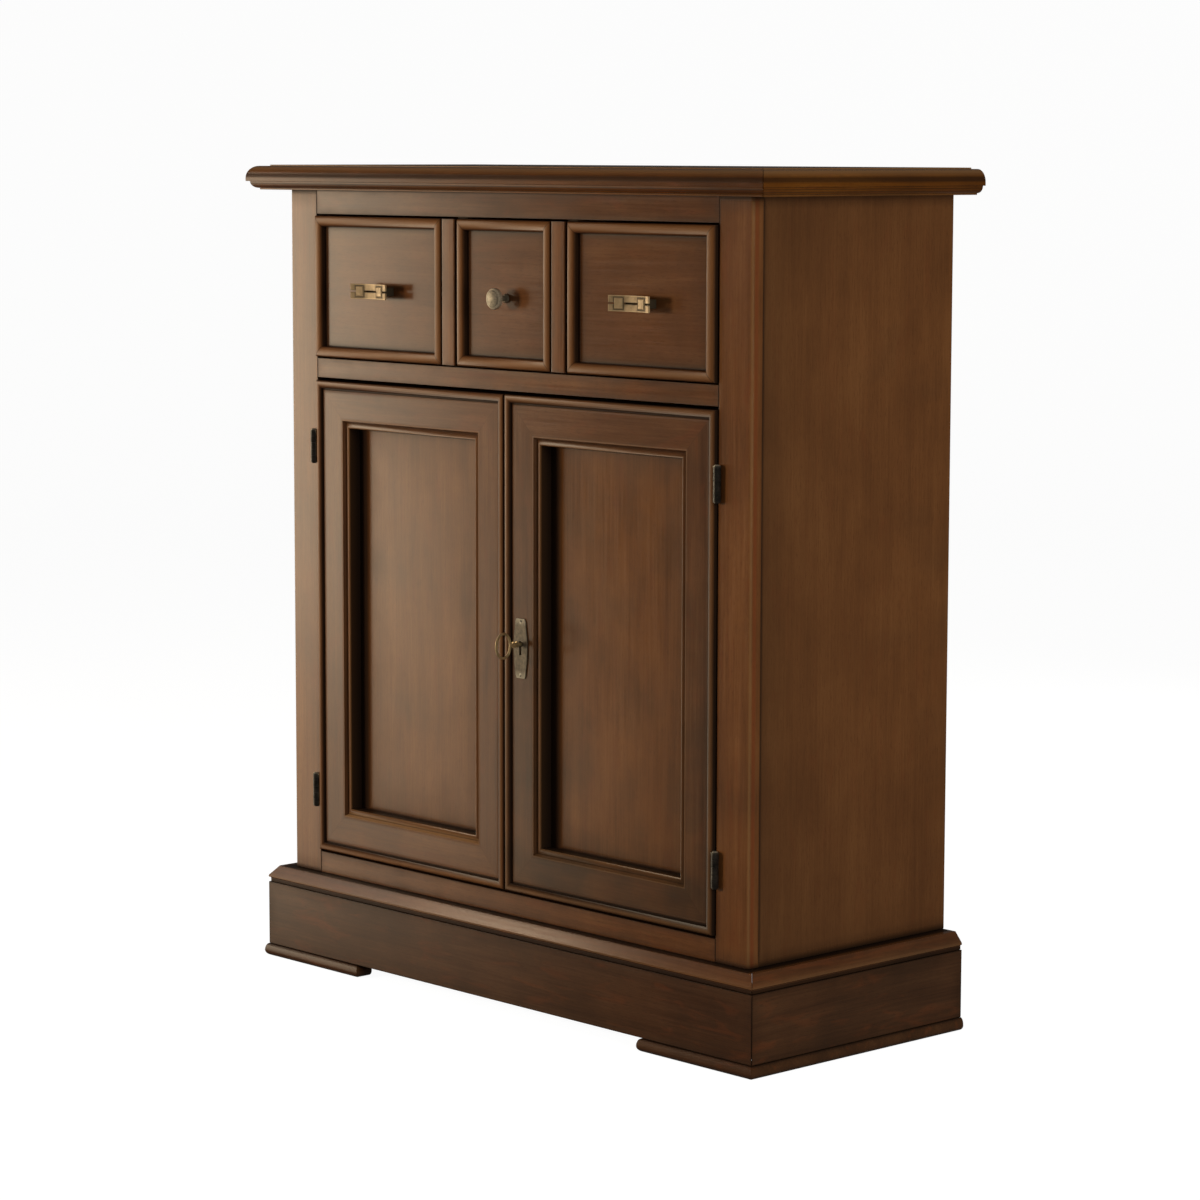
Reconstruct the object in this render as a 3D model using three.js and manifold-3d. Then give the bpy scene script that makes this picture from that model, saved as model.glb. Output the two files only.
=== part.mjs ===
// A walnut credenza: three drawers over two moulded doors, on a plinth with a bullnose base moulding.
// Millimetres. X runs along the front, Y from the front towards the back and Z up. Sizes are worked out with
// Y zero on the front of the face frame; the last lines move the origin under the middle of the whole piece.
import * as THREE from "three";
import { mergeVertices } from "three/addons/utils/BufferGeometryUtils.js";
import Module from "manifold-3d";

const wasm = await Module();
wasm.setup();

// Clearances
const seam = 0.3; // glue line between pieces that touch
const running = 0.5; // between a sliding piece and its guide
const overrun = 4; // how far a cutting shape passes the face that it opens
const weld = 0.0005; // vertices nearer than this are one vertex

// Case
const caseWidth = 808;
const caseDepth = 325;
const stileWidth = 51.5;
const faceThickness = 17;
const sideThickness = 19;
const sideSetIn = 0.5; // the side panel lies this far inside the stile's outer face
const backThickness = 8;
const boardThickness = 18; // floor and shelf
const stileArris = 3.5; // rounded outer corner of a front stile
const bottomRailHeight = 26.7;
const doorOpeningHeight = 596;
const midRailHeight = 24;
const drawerOpeningHeight = 177;
const topRailHeight = 29;

// Plinth, from the floor up
const baseHeight = 15.5; // bullnose moulding
const baseReach = 26.2; // its overhang past the face frame
const baseWidth = 24.5;
const baseWidest = 6.5; // height of its widest line
const baseFootIn = 7; // how far its bottom edge lies inside the widest line
const baseHeadIn = 4.6;
const footLength = 185; // each front foot, from the corner
const plinthHeight = 79.6;
const plinthReach = 21.9;
const plinthThickness = 20;
const plinthSideExtra = 6.1; // the sides overhang this much more than the front
const capHeight = 20.3;
const capReach = 22.2;
const capWidth = 50;
const capUndercut = 2.2;
const capUndercutHeight = 4.8;
const capUndercutRise = 1;
const capLip = 2.2;
const capBevel = 10.2;

// Top, a panel inside mitred mouldings; sizes across are measured inwards from the widest line
const topThickness = 30.7;
const topReach = 33.75;
const topSideExtra = 13.85;
const topMouldingWidth = 85;
const topFilletIn = 21.9; // the raised flat starts here
const topFilletHeight = 1.5;
const ovoloWidth = 12.1;
const ovoloHeight = 14.8;
const topBandHeight = 4;
const underStep = 3.8;
const underOvoloWidth = 8;
const underOvoloHeight = 8.5;
const underFillet = 0.9;

// Drawers
const drawerGap = 2; // between a front and what is above, below and beside it
const drawerPostGap = 2.5;
const dividerWidth = 24;
const dividerCentre = 96.6;
const dividerProud = 6.7;
const dividerArris = 2.2;
const partitionThickness = 18;
const deckThickness = 15;
const guideWidth = 20;
const guideHeight = 8;
const guideInset = 23; // from the face frame's back and from the tray's end
const beadWidth = 13;
const beadProud = 7.5;
const beadShoulder = 3; // flank of the bead, proud of the face frame, before it rounds over
const beadRound = 6; // width of the rounding on each side of the bead's crown
const drawerRecess = 0.6; // the flat panel lies this far behind the face frame's front
const drawerPanelThickness = 16.4;
const trayWall = 10;
const trayInset = 2; // the tray is narrower than the front by this much on each side
const trayBackRoom = 19.4; // between a closed drawer's tray and the case's back panel
const trayDrop = 22.5; // its top edge below the top of the front
const trayBottomThickness = 5;
const ribWidth = 8;

// Pulls and knob
const pullCentre = 229;
const pullDrop = 3; // below the middle of the front
const pullWidth = 65;
const pullHeight = 18;
const pullSlot = 1.7;
const pullThickness = 2.6;
const pullBow = 4.6; // the ends stand forward of the middle by this much
const pullStandoff = 21.6; // panel to the front of the ends
const studSize = 12.3;
const studProud = 1.3;
const studChamfer = 1.2;
const studSpacing = 37;
const pillarSize = 10;
const knobDrop = 4.5;
const knobRadius = 12.5;
const knobRim = 3;
const knobDome = 3.4;
const knobNeck = 3.3;
const knobBase = 5.2;
const knobBaseHeight = 3.6;
const knobStandoff = 23.6; // panel to the top of the dome
const knobBackShare = 0.6; // of the radius, where the underside turns in to the neck

// Doors; the frame's sizes across run inwards from its outer edge, and heights from the face frame's front
const doorGap = 3.5;
const doorPostGap = 1.5;
const meetingGap = 2;
const meetingBevel = 1.5;
const doorDepth = 26; // behind the face frame's front
const crownWidth = 9.5;
const crownHeight = 5.4;
const crownShoulder = 3;
const quirkWidth = 2;
const quirkHeight = 1;
const frameFlat = 1.5;
const frameFlatWidth = 36.5;
const frameStepWidth = 2.3;
const frameStepDepth = 4.6;
const innerBeadWidth = 6.9;
const innerBeadRise = 1.9;
const doorPanelRecess = 18.5;
const doorPanelThickness = 6;
const rebateWidth = 8;

// Hinges
const barrelRadius = 4.2;
const barrelLength = 40;
const barrelClear = 0.3; // between the barrel and the face frame
const knuckleCount = 5;
const pinRadius = 1.9;
const pinRunning = 0.1;
const finialRadius = 3.4;
const finialHeight = 1.6;
const domeShare = 0.7; // radius at the crown of a small rounded head
const leafThickness = 0.9;
const leafDepth = 17;
const hingeFromTop = 81.5;
const hingeFromBottom = 75.5;

// Lock, key and bolts
const plateHeight = 70.5;
const plateWidth = 23.6;
const plateEndWidth = 18.6;
const plateThickness = 1.4;
const plateWaistShare = 0.36; // of the height, from the middle to where the bowed sides end
const plateTipShares = [[0.46, 0.9], [0.36, 1]]; // half widths and heights of the stepped ends
const plateDrop = 2.5; // its middle below the door's middle
const plateFromEdge = 27; // its middle from the door's meeting edge
const nailInset = 3.2;
const nailRadius = 1.7;
const nailHeight = 0.8;
const keyRise = 2.5; // the key's axis above the door's middle
const keyholeRadius = 3.7;
const keyholeSlotWidth = 3.6;
const keyholeSlotDepth = 13;
const keyRadius = 2.4;
const keyCollarRadius = 3.8;
const keyCollarWidth = 2.2;
const keyCollarPlaces = [8, 13]; // in front of the face frame
const keyBowStart = 17; // where the bow meets the stem
const keyBowDepth = 25;
const keyBowHeight = 32;
const keyWire = 1.6;
const keyBit = 11;
const keyBitThickness = 2.4;
const keyBitLength = 3.4;
const boltThickness = 4;
const boltHeight = 14;
const boltLength = 33;
const boltTail = 10.8; // the bolt's tail past the key's axis
const talonGap = 4;
const talonWidth = 4;
const lockWall = 3.5;
const lockBackWall = 2.4;
const lockEndClear = 0.6;
const strikeWidth = 18;
const strikeHeight = 34;
const strikeThickness = 1.6;
const doorBoltWidth = 8;
const doorBoltLength = 70;
const doorBoltTravel = 18;
const doorBoltClear = 0.5; // its tip below the top of the door at rest
const doorBoltPocketDepth = 8;
const boltPlateWidth = 20;
const boltPlateHeight = 56;
const boltPlateThickness = 1.5;
const boltPlateDrop = 8;
const strapHeight = 8;
const strapThickness = 1.6;
const boltKnobRadius = 3.2;
const boltKnobHeight = 7;
const boltKnobNeckShare = 0.6;
const boltKnobRimShare = 0.8;

// Places that follow from the sizes
const half = caseWidth / 2;
const openingHalf = half - stileWidth;
const plinthBase = baseHeight + seam;
const capBase = plinthBase + plinthHeight + seam;
const caseBase = capBase + capHeight + seam;
const doorOpeningBase = caseBase + bottomRailHeight;
const midRailBase = doorOpeningBase + doorOpeningHeight;
const deckTop = midRailBase + midRailHeight;
const topRailBase = deckTop + drawerOpeningHeight;
const caseTop = topRailBase + topRailHeight;
const topBase = caseTop + seam;
const topHeight = topBase + topThickness;
const insideHalf = half - sideThickness - seam;
const insideFront = faceThickness + seam;
const insideBack = caseDepth - backThickness - seam;
const trayBack = insideBack - trayBackRoom;
const drawerBase = deckTop + drawerGap;
const drawerTop = topRailBase - drawerGap;
const drawerMiddle = (drawerBase + drawerTop) / 2;
const outerFrontInner = dividerCentre + dividerWidth / 2 + drawerGap;
const outerFrontOuter = openingHalf - drawerPostGap;
const centreFrontHalf = dividerCentre - dividerWidth / 2 - drawerGap;
const drawerBack = drawerRecess + drawerPanelThickness;
const doorBase = doorOpeningBase + doorGap;
const doorTop = midRailBase - doorGap;
const doorMiddle = (doorBase + doorTop) / 2;
const doorInner = meetingGap / 2;
const doorOuter = openingHalf - doorPostGap;
const keyX = doorInner + plateFromEdge - seam;
const keyZ = doorMiddle + keyRise;
const lockFront = doorDepth + seam;
const keyFront = keyBowStart + keyBowDepth;

const walnut = { color: 0x6a4428, roughness: 0.42, metalness: 0 };
const walnutDark = { color: 0x553620, roughness: 0.5, metalness: 0 };
const oak = { color: 0x9a7b55, roughness: 0.7, metalness: 0 };
const ply = { color: 0x8d7050, roughness: 0.75, metalness: 0 };
const brass = { color: 0x8f7443, roughness: 0.38, metalness: 0.9 };
const pewter = { color: 0x77695a, roughness: 0.4, metalness: 0.9 };
const bronze = { color: 0x2e2620, roughness: 0.45, metalness: 0.8 };
const steel = { color: 0x8a8780, roughness: 0.45, metalness: 0.9 };

const X = new THREE.Vector3(1, 0, 0);
const Y = new THREE.Vector3(0, 1, 0);
const Z = new THREE.Vector3(0, 0, 1);
const LEFT = new THREE.Vector3(-1, 0, 0);
const FRONT = new THREE.Vector3(0, -1, 0);

const piece = new THREE.Group();

// Adds one named piece; side -1 is the mirror image of a shape that is drawn on the right.
function add(name, look, geometry, side = 1) {
  const mesh = new THREE.Mesh(geometry, new THREE.MeshStandardMaterial(look));
  mesh.name = name;
  mesh.scale.x = side;
  piece.add(mesh);
}

// Both hands of a piece that is drawn on the right.
function addPair(name, look, geometry) {
  add(name + "_left", look, geometry, -1);
  add(name + "_right", look, geometry);
}

function board(x0, x1, y0, y1, z0, z1) {
  const box = new THREE.BoxGeometry(x1 - x0, y1 - y0, z1 - z0);
  return box.translate((x0 + x1) / 2, (y0 + y1) / 2, (z0 + z1) / 2);
}

function solidOf(geometry) {
  const bare = geometry.clone();
  bare.deleteAttribute("normal");
  bare.deleteAttribute("uv");
  const merged = mergeVertices(bare, weld);
  const vertProperties = new Float32Array(merged.attributes.position.array);
  const triVerts = new Uint32Array(merged.index.array);
  return new wasm.Manifold(new wasm.Mesh({ numProp: 3, vertProperties, triVerts }));
}

function geometryOf(solid) {
  const mesh = solid.getMesh();
  const geometry = new THREE.BufferGeometry();
  geometry.setAttribute("position", new THREE.BufferAttribute(mesh.vertProperties, 3));
  geometry.setIndex(new THREE.BufferAttribute(mesh.triVerts, 1));
  geometry.computeVertexNormals();
  return geometry;
}

function join(...parts) {
  return geometryOf(parts.map(solidOf).reduce((whole, next) => whole.add(next)));
}

function cut(geometry, ...tools) {
  return geometryOf(tools.map(solidOf).reduce((whole, tool) => whole.subtract(tool), solidOf(geometry)));
}

function overlapOf(first, second) {
  return geometryOf(solidOf(first).intersect(solidOf(second)));
}

// Carries an outline of [across, up] points through stations, each an origin with the directions of across
// and up there. Where across runs diagonally the run has a mitre. A closed run returns to its first station.
function sweep(points, stations, closed = false) {
  const contour = points.map(([a, b]) => new THREE.Vector2(a, b));
  if (THREE.ShapeUtils.isClockWise(contour)) contour.reverse();
  const places = stations.flatMap(([origin, across, up]) =>
    contour.flatMap(({ x, y }) =>
      new THREE.Vector3(...origin).addScaledVector(across, x).addScaledVector(up, y).toArray(),
    ),
  );
  const count = contour.length;
  const spans = closed ? stations.length : stations.length - 1;
  const faces = [];
  for (let span = 0; span < spans; span++) {
    const here = span * count;
    const there = ((span + 1) % stations.length) * count;
    for (let i = 0; i < count; i++) {
      const next = (i + 1) % count;
      faces.push(here + i, here + next, there + next, here + i, there + next, there + i);
    }
  }
  if (!closed) {
    const end = spans * count;
    for (const [a, b, c] of THREE.ShapeUtils.triangulateShape(contour, [])) {
      faces.push(c, b, a, end + a, end + b, end + c);
    }
  }
  const geometry = new THREE.BufferGeometry();
  geometry.setAttribute("position", new THREE.Float32BufferAttribute(places, 3));
  geometry.setIndex(faces);
  geometry.computeVertexNormals();
  return geometry;
}

// An outline carried straight, at right angles to itself.
function bar(outline, length, start, across, up) {
  const along = new THREE.Vector3().crossVectors(across, up);
  const end = new THREE.Vector3(...start).addScaledVector(along, length);
  return sweep(outline, [[start, across, up], [end.toArray(), across, up]]);
}

// Points of an arc of an ellipse, from one angle to another in degrees, both ends included.
function arc(centreA, centreB, radiusA, radiusB, from, to, steps) {
  return Array.from({ length: steps + 1 }, (_, i) => {
    const angle = THREE.MathUtils.degToRad(from + ((to - from) * i) / steps);
    return [centreA + radiusA * Math.cos(angle), centreB + radiusB * Math.sin(angle)];
  });
}

// Stations of a moulding that runs along the front and back along the right side, with its widest line at
// the given overhangs. A glue line set into the side run's mitre keeps the two pieces apart.
function wrapStations(reach, sideExtra, glue = 0) {
  const corner = half + reach + sideExtra;
  return {
    corner,
    frontLeft: [[-corner, -reach, 0], new THREE.Vector3(1, 1, 0), Z],
    frontRight: [[corner, -reach, 0], new THREE.Vector3(-1, 1, 0), Z],
    sideFront: [[corner, glue - reach, 0], new THREE.Vector3(-1, 1, 0), Z],
    sideBack: [[corner, caseDepth, 0], LEFT, Z],
  };
}

// The front piece and the right side piece of such a moulding.
function wrapFront(outline, reach, sideExtra) {
  const at = wrapStations(reach, sideExtra, 2 * seam);
  return {
    front: sweep(outline, [at.frontLeft, at.frontRight]),
    side: sweep(outline, [at.sideFront, at.sideBack]),
  };
}

// A closed frame with mitred corners, from an outline of [in from the edge, proud of the face frame] points.
function mitredFrame(outline, x0, x1, z0, z1) {
  const corners = [[x0, z0, 1, 1], [x1, z0, -1, 1], [x1, z1, -1, -1], [x0, z1, 1, -1]];
  const stations = corners.map(([x, z, inX, inZ]) => [[x, 0, z], new THREE.Vector3(inX, 0, inZ), FRONT]);
  return sweep(outline, stations, true);
}

// A turned shape about a line along Y, from [radius, y] points.
function turned(profile, x, z, sides) {
  const points = profile.map(([radius, y]) => new THREE.Vector2(radius, y));
  return new THREE.LatheGeometry(points, sides).translate(x, 0, z);
}

// A turned shape about a line along Z, from [radius, z] points.
function turnedUpright(profile, x, y, sides) {
  const points = profile.map(([radius, height]) => new THREE.Vector2(radius, height));
  return new THREE.LatheGeometry(points, sides).rotateX(Math.PI / 2).translate(x, y, 0);
}

function addTop() {
  const lip = topBase;
  const stepBottom = topHeight - topFilletHeight - ovoloHeight - topBandHeight;
  const underOvoloIn = underStep + underOvoloWidth;
  const underOvoloLow = stepBottom - underOvoloHeight;
  const profile = [
    [topMouldingWidth, lip],
    [underOvoloIn + underFillet, lip],
    [underOvoloIn + underFillet, underOvoloLow],
    ...arc(underOvoloIn, stepBottom, underOvoloWidth, underOvoloHeight, 270, 180, 5),
    [0, stepBottom],
    ...arc(ovoloWidth, stepBottom + topBandHeight, ovoloWidth, ovoloHeight, 180, 90, 8),
    [topFilletIn, topHeight - topFilletHeight],
    [topFilletIn, topHeight],
    [topMouldingWidth, topHeight],
  ];
  const { front, side } = wrapFront(profile, topReach, topSideExtra);
  add("top_front_moulding", walnut, front);
  addPair("top_moulding", walnut, side);
  const panelHalf = half + topReach + topSideExtra - topMouldingWidth - seam;
  const panelFront = topMouldingWidth - topReach + seam;
  add("top_panel", walnut, board(-panelHalf, panelHalf, panelFront, caseDepth, topBase, topHeight));
}

function addPlinth() {
  const sideReach = plinthReach + plinthSideExtra;
  const boardOutline = [
    [0, plinthBase],
    [0, plinthBase + plinthHeight],
    [plinthThickness, plinthBase + plinthHeight],
    [plinthThickness, plinthBase],
  ];
  const boards = wrapFront(boardOutline, plinthReach, plinthSideExtra);
  add("plinth_front", walnut, boards.front);
  addPair("plinth_side", walnut, boards.side);
  const backHalf = half + sideReach - plinthThickness - seam;
  add(
    "plinth_back",
    walnutDark,
    board(-backHalf, backHalf, caseDepth - plinthThickness, caseDepth, plinthBase, plinthBase + plinthHeight),
  );

  const capTop = capBase + capHeight;
  const lipLow = capBase + capUndercutHeight + capUndercutRise;
  const capOutline = [
    [capWidth, capBase],
    [capUndercut, capBase],
    [capUndercut, capBase + capUndercutHeight],
    [0, lipLow],
    [0, lipLow + capLip],
    [capBevel, capTop],
    [capWidth, capTop],
  ];
  const caps = wrapFront(capOutline, capReach, plinthSideExtra);
  add("plinth_cap_front", walnut, caps.front);
  addPair("plinth_cap", walnut, caps.side);

  const headDrop = baseHeight - baseWidest;
  const baseOutline = [
    [baseWidth, 0],
    ...arc(baseFootIn, baseWidest, baseFootIn, baseWidest, 270, 180, 5),
    ...arc(baseHeadIn, baseWidest, baseHeadIn, headDrop, 180, 90, 5).slice(1),
    [baseWidth, baseHeight],
  ];
  const at = wrapStations(baseReach, plinthSideExtra);
  const inner = at.corner - footLength;
  const footEnd = [[inner, -baseReach, 0], Y, Z];
  const run = sweep(baseOutline, [footEnd, at.frontRight, at.sideBack]);
  const footSection = [
    ...baseOutline.slice(0, -2),
    [footLength + overrun, baseHeight],
    [footLength + overrun, 0],
  ];
  const returned = bar(footSection, caseDepth + baseReach + 2 * overrun, [inner, caseDepth + overrun, 0],
    X, Z);
  addPair("base_moulding", walnut, overlapOf(run, returned));
}

function addCase() {
  const stile = [
    [openingHalf, 0],
    ...arc(half - stileArris, stileArris, stileArris, stileArris, 270, 360, 4),
    [half, faceThickness],
    [openingHalf, faceThickness],
  ];
  addPair("front_stile", walnut, bar(stile, caseTop - caseBase, [0, 0, caseBase], X, Y));
  const sideOuter = half - sideSetIn;
  const sideInner = insideHalf + seam;
  addPair("side_panel", walnut, board(sideInner, sideOuter, insideFront, caseDepth, caseBase, caseTop));

  const railHalf = openingHalf - seam;
  add("top_rail", walnut, board(-railHalf, railHalf, 0, faceThickness, topRailBase, caseTop));
  add("middle_rail", walnut, board(-railHalf, railHalf, 0, faceThickness, midRailBase, deckTop));
  add("bottom_rail", walnut, board(-railHalf, railHalf, 0, faceThickness, caseBase, doorOpeningBase));

  const floorLow = doorOpeningBase - boardThickness;
  add("cabinet_floor", oak, board(-insideHalf, insideHalf, insideFront, insideBack, floorLow,
    doorOpeningBase));
  const shelfFront = lockFront + boltThickness + lockBackWall + boardThickness;
  const shelfLow = doorMiddle - boardThickness / 2;
  add("shelf", oak, board(-insideHalf, insideHalf, shelfFront, insideBack, shelfLow,
    shelfLow + boardThickness));
  add("back_panel", ply, board(-insideHalf, insideHalf, insideBack + seam, caseDepth, caseBase, caseTop));

  addDeck();
  const halfPartition = partitionThickness / 2;
  const partition = board(dividerCentre - halfPartition, dividerCentre + halfPartition, insideFront,
    insideBack, deckTop + seam, caseTop);
  addPair("drawer_partition", oak, partition);
  const strip = [
    [dividerCentre - dividerWidth / 2, faceThickness],
    ...arc(dividerCentre - dividerWidth / 2 + dividerArris, dividerArris - dividerProud, dividerArris,
      dividerArris, 180, 270, 3),
    ...arc(dividerCentre + dividerWidth / 2 - dividerArris, dividerArris - dividerProud, dividerArris,
      dividerArris, 270, 360, 3),
    [dividerCentre + dividerWidth / 2, faceThickness],
  ];
  addPair("drawer_divider", walnut, bar(strip, drawerTop - drawerBase, [0, 0, drawerBase], X, Y));
}

// The board under the drawers, with a guide strip in each bay and the pocket for the left door's bolt.
function addDeck() {
  const deckLow = deckTop - deckThickness;
  const guideFront = insideFront + guideInset;
  const guides = [-outerBayMiddle(), 0, outerBayMiddle()].map((x) =>
    board(x - guideWidth / 2, x + guideWidth / 2, guideFront, insideBack - guideInset, deckTop - seam,
      deckTop + guideHeight),
  );
  const whole = join(board(-insideHalf, insideHalf, insideFront, insideBack, deckLow, deckTop), ...guides);
  const pocket = board(
    doorBoltX() - doorBoltWidth / 2 - running,
    doorBoltX() + doorBoltWidth / 2 + running,
    doorBoltFront() - running,
    doorBoltFront() + boltThickness + running,
    deckLow - overrun,
    deckLow + doorBoltPocketDepth,
  );
  add("drawer_deck", oak, cut(whole, pocket));
}

function outerBayMiddle() {
  return (outerFrontInner + outerFrontOuter) / 2;
}

function drawerFront(x0, x1) {
  const crown = beadProud - beadShoulder;
  const outline = [
    [0, -drawerBack],
    ...arc(beadRound, beadShoulder, beadRound, crown, 180, 90, 5),
    ...arc(beadWidth - beadRound, beadShoulder, beadRound, crown, 90, 0, 5),
    [beadWidth, -drawerRecess],
    [beadWidth + seam, -drawerRecess],
    [beadWidth + seam, -drawerBack],
  ];
  const bead = mitredFrame(outline, x0, x1, drawerBase, drawerTop);
  const panel = board(x0 + beadRound, x1 - beadRound, drawerRecess, drawerBack, drawerBase + beadRound,
    drawerTop - beadRound);
  return join(bead, panel);
}

// The tray's two sides and back. The back stands on the bottom, and the sides run on the deck.
function drawerTray(x0, x1) {
  const front = drawerBack + seam;
  const low = deckTop + running;
  const high = drawerTop - trayDrop;
  const bottomTop = trayBottomLow() + trayBottomThickness;
  return join(
    board(x0, x0 + trayWall, front, trayBack, low, high),
    board(x1 - trayWall, x1, front, trayBack, low, high),
    board(x0 + trayWall / 2, x1 - trayWall / 2, trayBack - trayWall, trayBack, bottomTop + seam, high),
  );
}

function trayBottomLow() {
  return deckTop + guideHeight + 2 * running;
}

// The tray's bottom, with two ribs that straddle the guide strip.
function drawerBottom(x0, x1) {
  const front = drawerBack + seam;
  const low = trayBottomLow();
  const middle = (x0 + x1) / 2;
  const inset = trayWall + seam;
  const ribs = [-1, 1].map((side) => {
    const near = middle + side * (guideWidth / 2 + running);
    const far = near + side * ribWidth;
    return board(Math.min(near, far), Math.max(near, far), front + guideInset, trayBack - guideInset,
      deckTop + running, low + seam);
  });
  return join(board(x0 + inset, x1 - inset, front, trayBack, low, low + trayBottomThickness), ...ribs);
}

function addDrawers() {
  const outer = [outerFrontInner, outerFrontOuter];
  const outerTray = [outerFrontInner + trayInset, outerFrontOuter - trayInset];
  addPair("drawer_front", walnut, drawerFront(...outer));
  addPair("drawer_tray", oak, drawerTray(...outerTray));
  addPair("drawer_bottom", ply, drawerBottom(...outerTray));
  const trayHalf = centreFrontHalf - trayInset;
  add("drawer_front_centre", walnut, drawerFront(-centreFrontHalf, centreFrontHalf));
  add("drawer_tray_centre", oak, drawerTray(-trayHalf, trayHalf));
  add("drawer_bottom_centre", ply, drawerBottom(-trayHalf, trayHalf));
  addPair("drawer_pull", brass, drawerPull());
  add("drawer_knob", pewter, drawerKnob());
}

// Two bars, one over the other, bowed so that their ends come forward, and joined by square studs on pillars.
function drawerPull() {
  const z = drawerMiddle - pullDrop;
  const middle = drawerRecess - pullStandoff + pullBow;
  const steps = 12;
  const along = Array.from({ length: steps + 1 }, (_, i) => (2 * i) / steps - 1);
  const face = (share) => middle - pullBow * share * share;
  const outline = [
    ...along.map((share) => [(share * pullWidth) / 2, face(share)]),
    ...along.toReversed().map((share) => [(share * pullWidth) / 2, face(share) + pullThickness]),
  ];
  const barHeight = (pullHeight - pullSlot) / 2;
  const bars = [z - pullHeight / 2, z + pullSlot / 2].map((low) =>
    bar(outline, barHeight, [pullCentre, 0, low], X, Y),
  );
  const studShare = studSpacing / pullWidth;
  const slope = (4 * pullBow * studShare) / pullWidth;
  const studs = [-1, 1].flatMap((side) => {
    const x = pullCentre + (side * studSpacing) / 2;
    const plateFront = face(studShare);
    return [
      chamferedStud(x, z, plateFront, -side * Math.atan(slope)),
      board(x - pillarSize / 2, x + pillarSize / 2, plateFront + pullThickness / 2, drawerRecess - seam,
        z - pillarSize / 2, z + pillarSize / 2),
    ];
  });
  return join(...bars, ...studs);
}

// A square stud head with a chamfered front edge, standing through the plate and leaning with it.
function chamferedStud(x, z, plateFront, lean) {
  const side = studSize / 2 - studChamfer;
  const square = new THREE.Shape([
    new THREE.Vector2(-side, -side),
    new THREE.Vector2(side, -side),
    new THREE.Vector2(side, side),
    new THREE.Vector2(-side, side),
  ]);
  const depth = studProud + pullThickness + pullThickness - studChamfer;
  const head = new THREE.ExtrudeGeometry(square, {
    depth,
    bevelEnabled: true,
    bevelSegments: 1,
    bevelSize: studChamfer,
    bevelThickness: studChamfer,
  });
  head.rotateX(-Math.PI / 2).translate(0, studChamfer - studProud, 0);
  return head.rotateZ(lean).translate(x, plateFront, z);
}

function drawerKnob() {
  const z = drawerMiddle - knobDrop;
  const base = drawerRecess - seam;
  const tip = drawerRecess - knobStandoff;
  const rimFront = tip + knobDome;
  const rimBack = rimFront + knobRim;
  const profile = [
    [0, base],
    [knobBase, base],
    [knobBase, base - knobBaseHeight / 2],
    [(knobBase + knobNeck) / 2, base - knobBaseHeight],
    [knobNeck, base - knobBaseHeight],
    [knobNeck, rimBack + knobRim],
    [knobRadius * knobBackShare, rimBack + knobRim / 3],
    [knobRadius, rimBack],
    [knobRadius, rimFront],
    ...arc(0, rimFront, knobRadius, -knobDome, 15, 90, 4).slice(0, -1),
    [0, tip],
  ];
  return turned(profile.toReversed(), 0, z, 24);
}

// Outline of the door frame's moulded section, from the back of the outer edge round to the back again.
function doorFrameOutline() {
  const flatStart = crownWidth + quirkWidth;
  const flatEnd = flatStart + frameFlatWidth;
  const stepLow = frameFlat - frameStepDepth;
  const beadStart = flatEnd + frameStepWidth;
  const inner = beadStart + innerBeadWidth;
  const beadTop = stepLow + innerBeadRise;
  const beadNose = innerBeadWidth / 4;
  return [
    [0, -doorDepth],
    [0, crownShoulder],
    ...arc(crownWidth / 2, crownShoulder, crownWidth / 2, crownHeight - crownShoulder, 170, 20, 6),
    [crownWidth, quirkHeight],
    [flatStart - quirkWidth / 4, quirkHeight],
    [flatStart, frameFlat],
    [flatEnd, frameFlat],
    [beadStart, stepLow],
    [inner - 2 * beadNose, beadTop - beadNose / 4],
    ...arc(inner - beadNose, beadTop - beadNose, beadNose, beadNose, 90, 0, 3),
    [inner, -doorPanelRecess + seam],
    [inner - rebateWidth, -doorPanelRecess + seam],
    [inner - rebateWidth, -doorDepth],
  ];
}

function doorFrameWidth() {
  return crownWidth + quirkWidth + frameFlatWidth + frameStepWidth + innerBeadWidth;
}

// The meeting edge is planed out of square, so that both doors clear each other as they open.
function meetingEdgeRelief() {
  const start = -crownShoulder;
  const slope = meetingBevel / (doorDepth - start);
  const outline = [
    [doorInner - overrun, start],
    [doorInner, start],
    [doorInner + slope * (doorDepth + overrun - start), doorDepth + overrun],
    [doorInner - overrun, doorDepth + overrun],
  ];
  return bar(outline, doorTop - doorBase + 2 * overrun, [0, 0, doorBase - overrun], X, Y);
}

function hingeMortises() {
  const deep = leafThickness + seam;
  return hingeHeights().map((z) =>
    board(doorOuter - deep, doorOuter + overrun, -crownHeight - overrun, leafDepth + seam,
      z - barrelLength / 2 - seam, z + barrelLength / 2 + seam),
  );
}

function hingeHeights() {
  return [doorTop - hingeFromTop, doorBase + hingeFromBottom];
}

// Keyhole outline, round above and a slot below, on the key's axis.
function keyholeOutline(grow) {
  const radius = keyholeRadius + grow;
  const slot = keyholeSlotWidth / 2 + grow;
  const meet = THREE.MathUtils.radToDeg(Math.asin(slot / radius));
  const low = keyZ - keyholeSlotDepth - grow;
  return [
    [keyX + slot, low],
    ...arc(keyX, keyZ, radius, radius, -90 + meet, 270 - meet, 14),
    [keyX - slot, low],
  ];
}

function keyholeThrough(front, back) {
  return bar(keyholeOutline(0), back - front, [0, back, 0], X, Z);
}

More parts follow.
